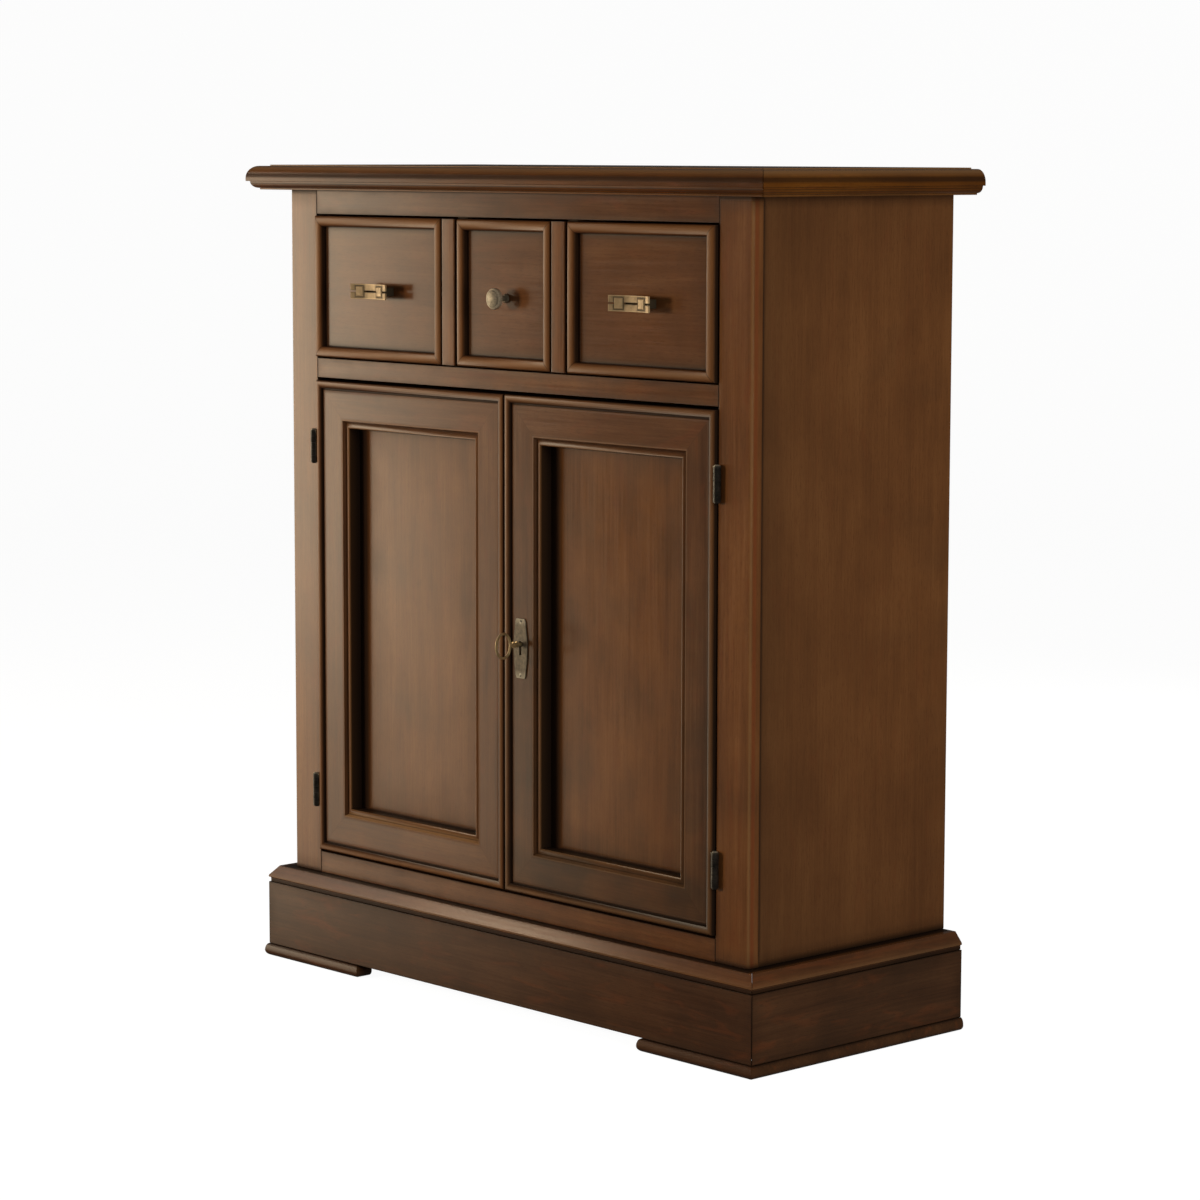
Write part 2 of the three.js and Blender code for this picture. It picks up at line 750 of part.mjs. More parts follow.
function addDoors() {
  const blank = mitredFrame(doorFrameOutline(), doorInner, doorOuter, doorBase, doorTop);
  const frame = cut(blank, meetingEdgeRelief(), ...hingeMortises());
  const keyhole = keyholeThrough(-crownHeight - overrun, doorDepth + overrun);
  add("door_frame_left", walnut, frame, -1);
  add("door_frame_right", walnut, cut(frame, keyhole));
  const inset = doorFrameWidth() - rebateWidth + seam;
  addPair(
    "door_panel",
    walnut,
    board(doorInner + inset, doorOuter - inset, doorPanelRecess, doorPanelRecess + doorPanelThickness,
      doorBase + inset, doorTop - inset),
  );
  hingeHeights().forEach((z, i) => {
    const place = ["upper", "lower"][i];
    addPair("hinge_pin_leaf_" + place, bronze, hingeCaseLeaf(z));
    addPair("hinge_door_leaf_" + place, bronze, hingeDoorLeaf(z));
  });
}

// The hinge's barrel stands in front of the stile, beside the door's edge.
function hingeAxis() {
  return { x: doorOuter + seam + barrelRadius, y: -barrelRadius - barrelClear };
}

function knuckles(z) {
  const pitch = (barrelLength + seam) / knuckleCount;
  const low = z - barrelLength / 2;
  return Array.from({ length: knuckleCount }, (_, i) => [low + i * pitch, low + (i + 1) * pitch - seam]);
}

// Case leaf with the pin: the odd knuckles and the finials are one turned piece.
function hingeCaseLeaf(z) {
  const { x, y } = hingeAxis();
  const own = knuckles(z).filter((_, i) => i % 2 === 0);
  const [low, high] = [z - barrelLength / 2, z + barrelLength / 2];
  const profile = [
    [0, low - finialHeight],
    [finialRadius * domeShare, low - finialHeight],
    [finialRadius, low - finialHeight / 2],
    [finialRadius, low],
    ...own.flatMap(([from, to]) => [
      [pinRadius, from],
      [barrelRadius, from],
      [barrelRadius, to],
      [pinRadius, to],
    ]).slice(1, -1),
    [finialRadius, high],
    [finialRadius, high + finialHeight / 2],
    [finialRadius * domeShare, high + finialHeight],
    [0, high + finialHeight],
  ];
  const barrel = turnedUpright(profile, x, y, 16);
  const leafInner = doorOuter + seam;
  const leafOuter = leafInner + leafThickness;
  const swing = y + barrelRadius - leafThickness / 2;
  const tabs = own.map(([from, to]) => board(leafInner, leafOuter, y, leafDepth, from, to));
  const leaf = board(leafInner, leafOuter, swing, leafDepth, low, high);
  return join(barrel, leaf, ...tabs);
}

// Door leaf: the knuckles between, bored to run on the pin.
function hingeDoorLeaf(z) {
  const { x, y } = hingeAxis();
  const own = knuckles(z).filter((_, i) => i % 2 === 1);
  const bore = pinRadius + pinRunning;
  const leafOuter = doorOuter;
  const leafInner = doorOuter - leafThickness;
  const reach = barrelRadius / 3;
  const rings = own.flatMap(([from, to]) => [
    turnedUpright([[bore, from], [barrelRadius, from], [barrelRadius, to], [bore, to], [bore, from]],
      x, y, 16),
    board(leafInner, x - bore - reach / 2, y - reach, y + reach, from, to),
  ]);
  const leaf = board(leafInner, leafOuter, y - reach, leafDepth, z - barrelLength / 2, z + barrelLength / 2);
  return join(leaf, ...rings);
}

function addLock() {
  add("escutcheon", pewter, escutcheonPlate());
  add("key", brass, keyShape());
  add("lock_case", steel, lockCase());
  add("lock_bolt", steel, lockBolt());
  const strikeLow = keyZ + keyRadius + running - strikeHeight / 4;
  add(
    "strike_plate",
    steel,
    board(doorInner + meetingBevel + seam, doorInner + meetingBevel + strikeWidth, lockFront,
      lockFront + strikeThickness, strikeLow, strikeLow + strikeHeight),
    -1,
  );
}

// A plate with bowed sides and stepped ends, a keyhole and two round-headed nails.
function escutcheonPlate() {
  const x = doorInner + plateFromEdge;
  const z = doorMiddle - plateDrop;
  const top = plateHeight / 2;
  const waist = plateHeight * plateWaistShare;
  const steps = 8;
  const bowed = Array.from({ length: steps + 1 }, (_, i) => {
    const share = (2 * i) / steps - 1;
    const width = plateWidth - (plateWidth - plateEndWidth) * share * share;
    return [width / 2, share * waist];
  });
  const tip = plateTipShares.map(([across, up]) => [plateEndWidth * across, top * up]);
  const right = [...tip.map(([a, b]) => [a, -b]).toReversed(), ...bowed, ...tip];
  const left = right.map(([a, b]) => [-a, b]).toReversed();
  const outline = [...right, ...left].map(([a, b]) => [x + a, z + b]);
  const back = -frameFlat - seam;
  const front = back - plateThickness;
  const plate = bar(outline, plateThickness, [0, back, 0], X, Z);
  const nails = [-1, 1].map((side) =>
    turned(
      [
        [0, front - nailHeight],
        [nailRadius * domeShare, front - nailHeight * domeShare],
        [nailRadius, front + plateThickness / 2],
        [0, front + plateThickness / 2],
      ],
      x,
      z + side * (top - nailInset),
      10,
    ),
  );
  return cut(join(plate, ...nails), keyholeThrough(front - overrun, back + overrun));
}

function keyShape() {
  const bitBack = boltFront() + boltThickness - seam;
  const [near, far] = keyCollarPlaces.map((place) => -place);
  const collar = (middle) => [
    [keyRadius, middle - keyCollarWidth / 2],
    [keyCollarRadius, middle - keyCollarWidth / 4],
    [keyCollarRadius, middle + keyCollarWidth / 4],
    [keyRadius, middle + keyCollarWidth / 2],
  ];
  const stem = turned(
    [
      [0, -keyBowStart - keyWire],
      [keyRadius, -keyBowStart - keyWire],
      ...collar(far),
      ...collar(near),
      [keyRadius, lockPocketBack() - seam],
      [0, lockPocketBack() - seam],
    ],
    keyX,
    keyZ,
    14,
  );
  const bowA = keyBowDepth / 2 - keyWire;
  const bowB = keyBowHeight / 2 - keyWire;
  const bow = ovalRing(bowA, bowB, keyWire, 28, 8).translate(keyX, -keyBowStart - keyBowDepth / 2, keyZ);
  const bit = board(keyX - keyBitThickness / 2, keyX + keyBitThickness / 2, bitBack - keyBitLength,
    bitBack, keyZ - keyBit, keyZ);
  return join(stem, bow, bit);
}

// A ring of round wire that lies in the Y-Z plane, oval with the two given half sizes.
function ovalRing(halfY, halfZ, wire, steps, sides) {
  const places = [];
  const faces = [];
  for (let i = 0; i < steps; i++) {
    const turn = (2 * Math.PI * i) / steps;
    const middle = new THREE.Vector3(0, halfY * Math.cos(turn), halfZ * Math.sin(turn));
    const outward = new THREE.Vector3(0, halfZ * Math.cos(turn), halfY * Math.sin(turn)).normalize();
    for (let j = 0; j < sides; j++) {
      const roll = (2 * Math.PI * j) / sides;
      const place = middle.clone().addScaledVector(outward, wire * Math.cos(roll));
      places.push(wire * Math.sin(roll), place.y, place.z);
      const a = i * sides + j;
      const b = i * sides + ((j + 1) % sides);
      const c = ((i + 1) % steps) * sides + ((j + 1) % sides);
      const d = ((i + 1) % steps) * sides + j;
      faces.push(a, c, b, a, d, c);
    }
  }
  const geometry = new THREE.BufferGeometry();
  geometry.setAttribute("position", new THREE.Float32BufferAttribute(places, 3));
  geometry.setIndex(faces);
  return geometry;
}

function boltLow() {
  return keyZ + keyRadius + 2 * running;
}

// The bolt passes behind the strike plate on the other door.
function boltFront() {
  return lockFront + strikeThickness + running;
}

function lockPocketBack() {
  return boltFront() + boltThickness + running;
}

// The case is open towards the door's back: a pocket for the bolt and the key's bit, and a slot for the bolt.
function lockCase() {
  const left = doorInner + lockWall;
  const pocketLeft = left + lockWall;
  const pocketRight = keyX + boltTail + lockEndClear;
  const pocketLow = keyZ - keyBit - 2 * running;
  const pocketHigh = boltLow() + boltHeight + running;
  const pocketBack = lockPocketBack();
  const block = board(left, pocketRight + lockWall, lockFront, pocketBack + lockBackWall,
    pocketLow - lockWall, pocketHigh + lockWall);
  const pocket = board(pocketLeft, pocketRight, lockFront - overrun, pocketBack, pocketLow, pocketHigh);
  const slot = board(left - overrun, pocketLeft + seam, lockFront - overrun, pocketBack, boltLow() - running,
    pocketHigh);
  return cut(block, pocket, slot);
}

// The bolt with the talon that the key's bit pushes.
function lockBolt() {
  const right = keyX + boltTail;
  const talonRight = keyX - talonGap;
  return join(
    board(right - boltLength, right, boltFront(), boltFront() + boltThickness, boltLow(),
      boltLow() + boltHeight),
    board(talonRight - talonWidth, talonRight, boltFront(), boltFront() + boltThickness,
      keyZ - keyBit + running, boltLow() + seam),
  );
}

function doorBoltX() {
  return -doorInner - doorFrameWidth() / 2;
}

function doorBoltFront() {
  return lockFront + boltPlateThickness + running;
}

// A flat slide bolt at the top of the left door, in a plate with two straps.
function addDoorBolt() {
  const x = doorBoltX();
  const front = doorBoltFront();
  const tip = doorTop - doorBoltClear;
  const back = front + boltThickness;
  const plateTop = doorTop - boltPlateDrop;
  const knobZ = plateTop - boltPlateHeight / 2 - doorBoltTravel / 2;
  const knob = turned(
    [
      [0, back - seam],
      [boltKnobRadius * boltKnobNeckShare, back - seam],
      [boltKnobRadius * boltKnobNeckShare, back + boltKnobHeight / 3],
      [boltKnobRadius, back + boltKnobHeight / 2],
      [boltKnobRadius, back + boltKnobHeight * boltKnobRimShare],
      [0, back + boltKnobHeight],
    ],
    x,
    knobZ,
    12,
  );
  const rod = board(x - doorBoltWidth / 2, x + doorBoltWidth / 2, front, back, tip - doorBoltLength, tip);
  add("door_bolt", steel, join(rod, knob));

  const channelHalf = doorBoltWidth / 2 + running;
  const plate = board(x - boltPlateWidth / 2, x + boltPlateWidth / 2, lockFront,
    lockFront + boltPlateThickness, plateTop - boltPlateHeight, plateTop);
  const straps = [plateTop - strapHeight, plateTop - boltPlateHeight].map((low) =>
    board(x - channelHalf - strapThickness, x + channelHalf + strapThickness, lockFront,
      back + running + strapThickness, low, low + strapHeight),
  );
  const channel = board(x - channelHalf, x + channelHalf, front - running, back + running,
    plateTop - boltPlateHeight - overrun, plateTop + overrun);
  add("bolt_plate", steel, cut(join(plate, ...straps), channel));
}

addCase();
addTop();
addPlinth();
addDrawers();
addDoors();
addLock();
addDoorBolt();

piece.position.y = (keyFront - caseDepth) / 2;
const credenza = new THREE.Group();
credenza.add(piece);

export default credenza;
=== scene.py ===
"""Looks of the walnut credenza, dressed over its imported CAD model.

Blender works in metres, in the part's own frame: X to the right, Y to the back and Z up. The materials
work in millimetres of that frame, so their patterns line up with the mouldings that the solids have.
"""

import math

import bpy
from mathutils import Matrix, Vector


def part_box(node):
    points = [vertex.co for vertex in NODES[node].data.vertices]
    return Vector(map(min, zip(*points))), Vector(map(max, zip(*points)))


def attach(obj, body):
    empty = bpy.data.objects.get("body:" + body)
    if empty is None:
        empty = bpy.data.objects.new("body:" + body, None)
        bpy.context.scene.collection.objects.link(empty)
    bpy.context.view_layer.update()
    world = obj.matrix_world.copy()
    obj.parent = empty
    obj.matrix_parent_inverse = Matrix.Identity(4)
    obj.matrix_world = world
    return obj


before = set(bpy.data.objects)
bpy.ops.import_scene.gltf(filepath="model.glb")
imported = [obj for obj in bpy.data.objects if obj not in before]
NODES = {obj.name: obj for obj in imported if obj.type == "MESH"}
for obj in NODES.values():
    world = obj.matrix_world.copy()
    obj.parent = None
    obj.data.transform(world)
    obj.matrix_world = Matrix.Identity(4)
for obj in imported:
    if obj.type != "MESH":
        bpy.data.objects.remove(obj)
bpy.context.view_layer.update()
MM = 0.001

# Camera, from the photo's own perspective
CAMERA_PLACE = Vector((3.2240, -2.9868, 1.0191))
CAMERA_AZIMUTH = math.radians(47.104)
CAMERA_ELEVATION = math.radians(6.975)
CAMERA_ROLL = math.radians(0.122)
CAMERA_LENS = 110.39
CAMERA_SENSOR = 36.0

# Linear colours of the woods: in dark streaks, between them and in light ones
WALNUT = ((0.062, 0.020, 0.0062), (0.122, 0.042, 0.0122), (0.19, 0.073, 0.022))
WARM_WALNUT = ((0.074, 0.024, 0.0066), (0.150, 0.052, 0.0142), (0.23, 0.088, 0.026))
TOP_WALNUT = ((0.041, 0.0105, 0.0012), (0.086, 0.0235, 0.0022), (0.15, 0.046, 0.0055))
TOP_SIDE_WALNUT = ((0.056, 0.0150, 0.0012), (0.118, 0.0335, 0.0022), (0.20, 0.064, 0.0055))
PANEL_WALNUT = ((0.074, 0.0235, 0.0055), (0.150, 0.050, 0.0110), (0.23, 0.085, 0.022))
CAP_WALNUT = ((0.046, 0.0155, 0.0055), (0.092, 0.031, 0.0098), (0.145, 0.053, 0.0165))
RAIL_WALNUT = ((0.048, 0.0155, 0.005), (0.094, 0.032, 0.0094), (0.15, 0.057, 0.0175))
DARK_WALNUT = ((0.034, 0.013, 0.0052), (0.066, 0.025, 0.0092), (0.105, 0.042, 0.016))
OAK = ((0.20, 0.125, 0.066), (0.34, 0.225, 0.125), (0.46, 0.325, 0.195))
PLY = ((0.18, 0.115, 0.063), (0.29, 0.195, 0.112), (0.37, 0.26, 0.155))

# Linear colours of what lies on the wood
GLAZE = (0.012, 0.0066, 0.0042)
RUBBED = (0.33, 0.165, 0.064)
HAZE = (0.022, 0.0155, 0.0085)
FLECK = (0.165, 0.040, 0.0105)

# Linear colours of the metals
BRASS = (0.40, 0.265, 0.135)
DULL_BRASS = (0.27, 0.175, 0.085)
KEY_BRASS = (0.72, 0.50, 0.25)
DULL_KEY_BRASS = (0.42, 0.28, 0.13)
PEWTER = (0.34, 0.27, 0.185)
DULL_PEWTER = (0.15, 0.115, 0.075)
PLATE = (0.165, 0.122, 0.078)
DULL_PLATE = (0.078, 0.06, 0.042)
IRON = (0.075, 0.06, 0.048)
DULL_IRON = (0.022, 0.018, 0.015)
STEEL = (0.46, 0.45, 0.43)
DULL_STEEL = (0.25, 0.24, 0.22)
POLISHED = (0.62, 0.54, 0.40)
PATINA = (0.022, 0.016, 0.011)

# Linear colours of the studio and of its light
PAPER = (0.16, 0.16, 0.16)
CARD = (0.3, 0.29, 0.27)
BLACK = (0.0, 0.0, 0.0)
WHITE = (1.0, 1.0, 1.0)
WARM = (1.0, 0.96, 0.90)
NEUTRAL = (0.93, 1.0, 1.0)
SHEEN = (1.0, 0.885, 0.655)
AMBER = (1.0, 0.74, 0.50)
CREAM = (1.0, 0.88, 0.72)

# How far the wood's figure, streaks and clouds move its tone
FIGURE_SWING = 0.42
STREAK_SWING = 0.34
CLOUD_SWING = 0.32

# Roughness and specular level of whole lacquer, of worn lacquer and of glaze
LACQUER_ROUGHNESS = (0.15, 0.21)
WORN_ROUGHNESS = 0.30
GLAZE_ROUGHNESS = 0.36
LACQUER_GLOSS = 0.5
WORN_GLOSS = 0.2
GLAZE_GLOSS = 0.06

# Depth of the relief in wood and in metal, in mm
PORE_DEPTH = 0.006
DENT_DEPTH = 0.03

# Shifts of the grain, in mm: from left to right pieces, from stiles to rails, and from bead to field
SIDE_SHIFT = 900.0
MEMBER_SHIFT = 210.0
FIELD_SHIFT = 77

# How far grime darkens each door, from 0 to 1
ANTIQUE = {"left": 0.12, "right": 0.62}

# The face frame's front, in mm, and how close to a door's back its plain finish starts
FACE_Y = -141.5
BACK_SKIN = 0.5

# The doors' moulding, in mm from the door's outer edge: the quirk, the step and the sight edge
DOOR_QUIRK = (9.2, 11.6)
DOOR_STEP = (47.6, 50.6)
DOOR_SIGHT = 57.2

# The doors' bead, in mm behind the face, and how high over a door's foot its step has a painted highlight
DOOR_BEAD_DEPTH = 1.4
DOOR_FOOT = 100

# The drawers' bead, in mm: its width and its crown from the front's outer edge, and its rise over the face
DRAWER_BEAD = 13.0
DRAWER_CROWN = 6.5
DRAWER_RISE = 4.5

# The pulls, in mm: from the middle to a stud's, across a stud, and from the front to where the dirt starts
STUD_PLACE = 18.5
STUD_SIZE = 12.3
PULL_BACK = (8.0, 9.5)

# The knob's neck, in mm before its end, and the escutcheon's pins, in mm from its tips
KNOB_NECK = (16, 12)
PIN_INSET = 4.6

# Share of darkening and of paling at heights in mm over each moulding's foot. On the top mouldings the
# dark band from 16 to 20 mm is painted shade and the pale rise from 24 mm up is a painted highlight over
# lighter wood; the other dark and pale lines are glaze and rubbed wood.
TOP_GLAZE_AND_SHADE = [
    (0, 0.3), (1.2, 0.1), (3.9, 0.1), (4.5, 0.7), (5.2, 0.2), (7.0, 0.2), (7.7, 0.75), (8.6, 0.1), (14, 0.1),
    (16.4, 0.7), (19.6, 0.7), (22.5, 0.1), (27.4, 0.0), (30.7, 0.0),
]
TOP_RUB_AND_HIGHLIGHT = [
    (0, 0.1), (1.5, 0.15), (4, 0.0), (20.5, 0.0), (24, 0.2), (27, 0.5), (30.4, 0.6), (30.65, 0.15),
    (30.7, 0.15),
]
CAP_GLAZE = [(0, 0.85), (3.4, 0.8), (4.6, 0.35), (6.0, 0.05), (9, 0.0), (20.3, 0.0)]
CAP_RUB = [(0, 0.0), (5.2, 0.0), (6.2, 0.22), (8.2, 0.15), (10, 0.05), (14, 0.0), (20.3, 0.0)]
BASE_GLAZE = [(0, 0.7), (2, 0.4), (5, 0.1), (9, 0.0), (13, 0.15), (14.6, 0.6), (15.5, 0.85)]

# Share of painted shade on the cap where the case stands on it, at distances in mm from the case
CAP_SHADE = [(0, 0.97), (8, 0.94), (11.6, 0.7), (13, 0.2), (15, 0.03), (22, 0.0)]

# How far edges are eased, in mm
POST_EASE = 0.5
PLINTH_EASE = 0.4
PULL_EASE = 0.35
BOARD_EASE = 0.3
METAL_EASE = 0.3
TOP_EASE = 0.2
UNEASED = 0.0

# Angles in degrees: at an edge that is eased, at one that stays sharp, and within one flat face
EASED_ANGLE = 40
SHARP_ANGLE = 32
FLAT_ANGLE = 0.4

# Corners closer than this are one, in mm
WELD = 0.01

# Strength of the light from all round, of the backdrop's glow and of the window's
AMBIENT = 0.07
PAPER_GLOW = 0.955
WINDOW_GLOW = 4.7

# Roughness of the studio's surfaces
PAPER_ROUGHNESS = 0.9


def is_socket(value):
    return isinstance(value, bpy.types.NodeSocket)


class Shader:
    """A material's node tree, with short spellings for the nodes that the looks are made of."""

    def __init__(self, name):
        self.material = bpy.data.materials.new(name)
        self.material.use_nodes = True
        self.tree = self.material.node_tree
        self.tree.nodes.clear()
        point = self.add("TexCoord").outputs["Object"]
        self.place = self.add("VectorMath", {0: point, 3: 1 / MM}, operation="SCALE").outputs[0]
        self.x, self.y, self.z = self.add("SeparateXYZ", {0: self.place}).outputs

    def add(self, kind, inputs=None, **settings):
        """A new node. Each of the inputs given is linked to a socket or set to a value."""
        node = self.tree.nodes.new("ShaderNode" + kind)
        for key, value in settings.items():
            setattr(node, key, value)
        for key, value in (inputs or {}).items():
            if is_socket(value):
                self.tree.links.new(value, node.inputs[key])
            else:
                node.inputs[key].default_value = value
        return node

    def math(self, operation, *values):
        return self.add("Math", dict(enumerate(values)), operation=operation).outputs[0]

    def fold(self, operation, values):
        """One value out of several, by a math operation that takes two at a time."""
        result = values[0]
        for value in values[1:]:
            result = self.math(operation, result, value)
        return result

    def most(self, *values):
        return self.fold("MAXIMUM", values)

    def least(self, *values):
        return self.fold("MINIMUM", values)

    def times(self, *values):
        return self.fold("MULTIPLY", values)

    def minus(self, first, second):
        return self.math("SUBTRACT", first, second)

    def off(self, value, centre):
        """How far a value is from a centre, to either side."""
        return self.math("ABSOLUTE", self.minus(value, centre))

    def inside(self, value, low, high):
        """How far a value is from the nearer end of a range, above zero inside it."""
        return self.least(self.minus(value, low), self.minus(high, value))

    def remap(self, value, low, high, to_low=0.0, to_high=1.0):
        return self.add("MapRange", {0: value, 1: low, 2: high, 3: to_low, 4: to_high}).outputs[0]

    def blend(self, share, first, second):
        """A mix of two colours."""
        first, second = (c if is_socket(c) else (*c, 1.0) for c in (first, second))
        return self.add("Mix", {0: share, 6: first, 7: second}, data_type="RGBA").outputs[2]

    def choose(self, share, first, second):
        """A mix of two numbers."""
        return self.add("Mix", {0: share, 2: first, 3: second}, data_type="FLOAT").outputs[0]

    def vector(self, *parts):
        return self.add("CombineXYZ", dict(enumerate(parts))).outputs[0]

    def noise(self, place, cells, detail=3.0, roughness=0.5, distortion=0.0):
        """Noise from 0 to 1, with cells of the given millimetres along the three axes of place."""
        shares = tuple(1 / cell for cell in cells)
        scaled = self.add("VectorMath", {0: place, 1: shares}, operation="MULTIPLY").outputs[0]
        settings = {"Detail": detail, "Roughness": roughness, "Distortion": distortion}
        node = self.add("TexNoise", {"Vector": scaled, "Scale": 1.0, **settings})
        return self.remap(node.outputs["Fac"], 0.25, 0.75)

    def blotches(self, cell, **settings):
        """Noise over the part's own place, with cells of the same millimetres each way."""
        return self.noise(self.place, (cell, cell, cell), **settings)

    def curve(self, distance, stops):
        """A value over a distance: straight between stops of (distance, value), and level beyond them."""
        reach = stops[-1][0]
        ramp = self.add("ValToRGB", {0: self.math("DIVIDE", distance, reach)})
        points = ramp.color_ramp.elements
        for place, value in stops[1:-1]:
            points.new(place / reach).color = (value, value, value, 1.0)
        for end, (_, value) in ((points[0], stops[0]), (points[-1], stops[-1])):
            end.color = (value, value, value, 1.0)
        return ramp.outputs[0]

    def finish(self, colour, roughness, height, depth, **fixed):
        """Ends the tree in one Principled shader. The height's full swing is depth, in millimetres."""
        bump = self.add("Bump", {"Strength": 1.0, "Distance": depth * MM, "Height": height})
        inputs = {"Base Color": colour, "Roughness": roughness, "Normal": bump.outputs[0], **fixed}
        shader = self.add("BsdfPrincipled", inputs)
        self.add("OutputMaterial", {"Surface": shader.outputs[0]})
        return self.material


def mm_box(node):
    """A node's lowest and highest corners, in mm."""
    low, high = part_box(node)
    return [v / MM for v in low], [v / MM for v in high]


def along(shader, axis, seed):
    """The place with its third number along the grain, shifted so that no two boards share a pattern."""
    first, second, third = {
        "X": (shader.z, shader.y, shader.x),
        "Y": (shader.x, shader.z, shader.y),
        "Z": (shader.x, shader.y, shader.z),
    }[axis]
    return shader.vector(first, shader.math("ADD", second, seed), third)


def wood(shader, place, look, glaze_and_shade=0.0, rub_and_highlight=0.0, contrast=1.0, matt=0.0, haze=0.0, ruddy=0.0):
    """Stained, glazed and lacquered wood. Place has its third number along the grain.

    Contrast is a number that scales the figure. The others are shares, as numbers or sockets: glaze_and_shade
    of dark glaze, which at some places is painted shade, rub_and_highlight of wood made pale, by wear and at
    some places as a painted highlight, matt of worn lacquer, haze of grime and ruddy of red flecks.
    """
    dark, middle, light = look
    figure = shader.noise(place, (26, 26, 300), detail=4, distortion=0.9)
    streak = shader.noise(place, (2.6, 2.6, 110), detail=5, roughness=0.6)
    cloud = shader.noise(shader.place, (85, 85, 110), detail=4, roughness=0.55)
    tone = shader.math("MULTIPLY_ADD", figure, FIGURE_SWING * contrast, 0.5 - FIGURE_SWING / 2 * contrast)
    tone = shader.math("MULTIPLY_ADD", shader.minus(streak, 0.5), STREAK_SWING * contrast, tone)
    tone = shader.math("MULTIPLY_ADD", shader.minus(cloud, 0.5), CLOUD_SWING, tone)
    ramp = shader.add("ValToRGB", {0: tone})
    stops = ramp.color_ramp.elements
    stops[0].position, stops[0].color = 0.05, (*dark, 1.0)
    stops[1].position, stops[1].color = 0.95, (*light, 1.0)
    stops.new(0.5).color = (*middle, 1.0)

    flecks = shader.noise(place, (17, 17, 70), distortion=1.2)
    red = shader.remap(flecks, 0.60, 0.95, 0.0, 0.34 * contrast)
    colour = shader.blend(shader.most(red, ruddy), ramp.outputs[0], FLECK)
    grime = shader.noise(shader.place, (130, 130, 90))
    dim = shader.remap(grime, 0.52, 0.92, 0.0, 0.17)
    colour = shader.blend(shader.most(dim, haze), colour, HAZE)
    pores = shader.remap(shader.noise(place, (0.7, 0.7, 9), detail=2), 0.62, 0.9)
    colour = shader.blend(shader.times(pores, 0.45), colour, dark)
    colour = shader.blend(rub_and_highlight, colour, RUBBED)
    colour = shader.blend(glaze_and_shade, colour, GLAZE)

    roughness = shader.remap(streak, 0.0, 1.0, *LACQUER_ROUGHNESS)
    roughness = shader.choose(matt, roughness, WORN_ROUGHNESS)
    roughness = shader.choose(glaze_and_shade, roughness, GLAZE_ROUGHNESS)
    if is_socket(matt):
        gloss = shader.choose(matt, LACQUER_GLOSS, WORN_GLOSS)
    else:
        gloss = LACQUER_GLOSS - (LACQUER_GLOSS - WORN_GLOSS) * matt
    if is_socket(glaze_and_shade):
        gloss = shader.choose(glaze_and_shade, gloss, GLAZE_GLOSS)
    height = shader.minus(shader.times(streak, 0.5), pores)
    return shader.finish(colour, roughness, height, PORE_DEPTH, **{"Specular IOR Level": gloss})


def metal(shader, bright, dull, cell, roughness, wear_and_highlight=0.0, dirt=0.0, metallic=1.0, shine=None):
    """Old metal: dull and rougher in blotches of cell mm, bright where wear_and_highlight is high, dark where
    dirt is. That share is wear, and on the hinges a painted highlight.

    Shine is the colour where it is bright. Without one, it is a brighter kind of bright.
    """
    shine = shine or [min(1.6 * c, 1.0) for c in bright]
    patina = shader.blotches(cell, detail=5, roughness=0.6)
    dents = shader.blotches(cell / 6)
    colour = shader.blend(shader.remap(patina, 0.2, 0.85), bright, dull)
    colour = shader.blend(wear_and_highlight, colour, shine)
    colour = shader.blend(dirt, colour, PATINA)
    rough = shader.remap(patina, 0.0, 1.0, roughness, roughness + 0.16)
    rough = shader.choose(dirt, rough, 0.75)
    return shader.finish(colour, rough, dents, DENT_DEPTH, **{"Metallic": metallic})


def pull_look(node):
    """Brass with dirt round the studs, along the slot and behind the plate, and with bright edges."""
    shader = Shader(node)
    low, high = mm_box(node)
    beside = shader.off(shader.x, (low[0] + high[0]) / 2)
    above = shader.off(shader.z, (low[2] + high[2]) / 2)
    past_stud = shader.minus(shader.most(shader.off(beside, STUD_PLACE), above), STUD_SIZE / 2)
    from_side = shader.minus((high[0] - low[0]) / 2, beside)
    from_rim = shader.least(from_side, shader.minus((high[2] - low[2]) / 2, above))

    around = shader.curve(past_stud, [(0, 0.0), (0.1, 0.85), (1.0, 0.75), (1.9, 0.25), (4, 0.0)])
    slot = shader.curve(above, [(0, 0.9), (1.0, 0.75), (1.5, 0.2), (2.4, 0.0)])
    slot = shader.times(slot, shader.math("GREATER_THAN", past_stud, 0.0))
    behind = shader.remap(shader.y, low[1] + PULL_BACK[0], low[1] + PULL_BACK[1], 0.0, 0.9)
    dirt = shader.most(around, slot, behind)

    on_stud = shader.curve(shader.times(past_stud, -1.0), [(0, 0.0), (0.9, 0.55), (1.6, 0.0), (3, 0.0)])
    rim = shader.curve(from_rim, [(0, 0.7), (0.6, 0.45), (1.3, 0.0), (2, 0.0)])
    return metal(shader, BRASS, DULL_BRASS, 7.0, 0.40, shader.most(rim, on_stud), dirt, metallic=0.4)


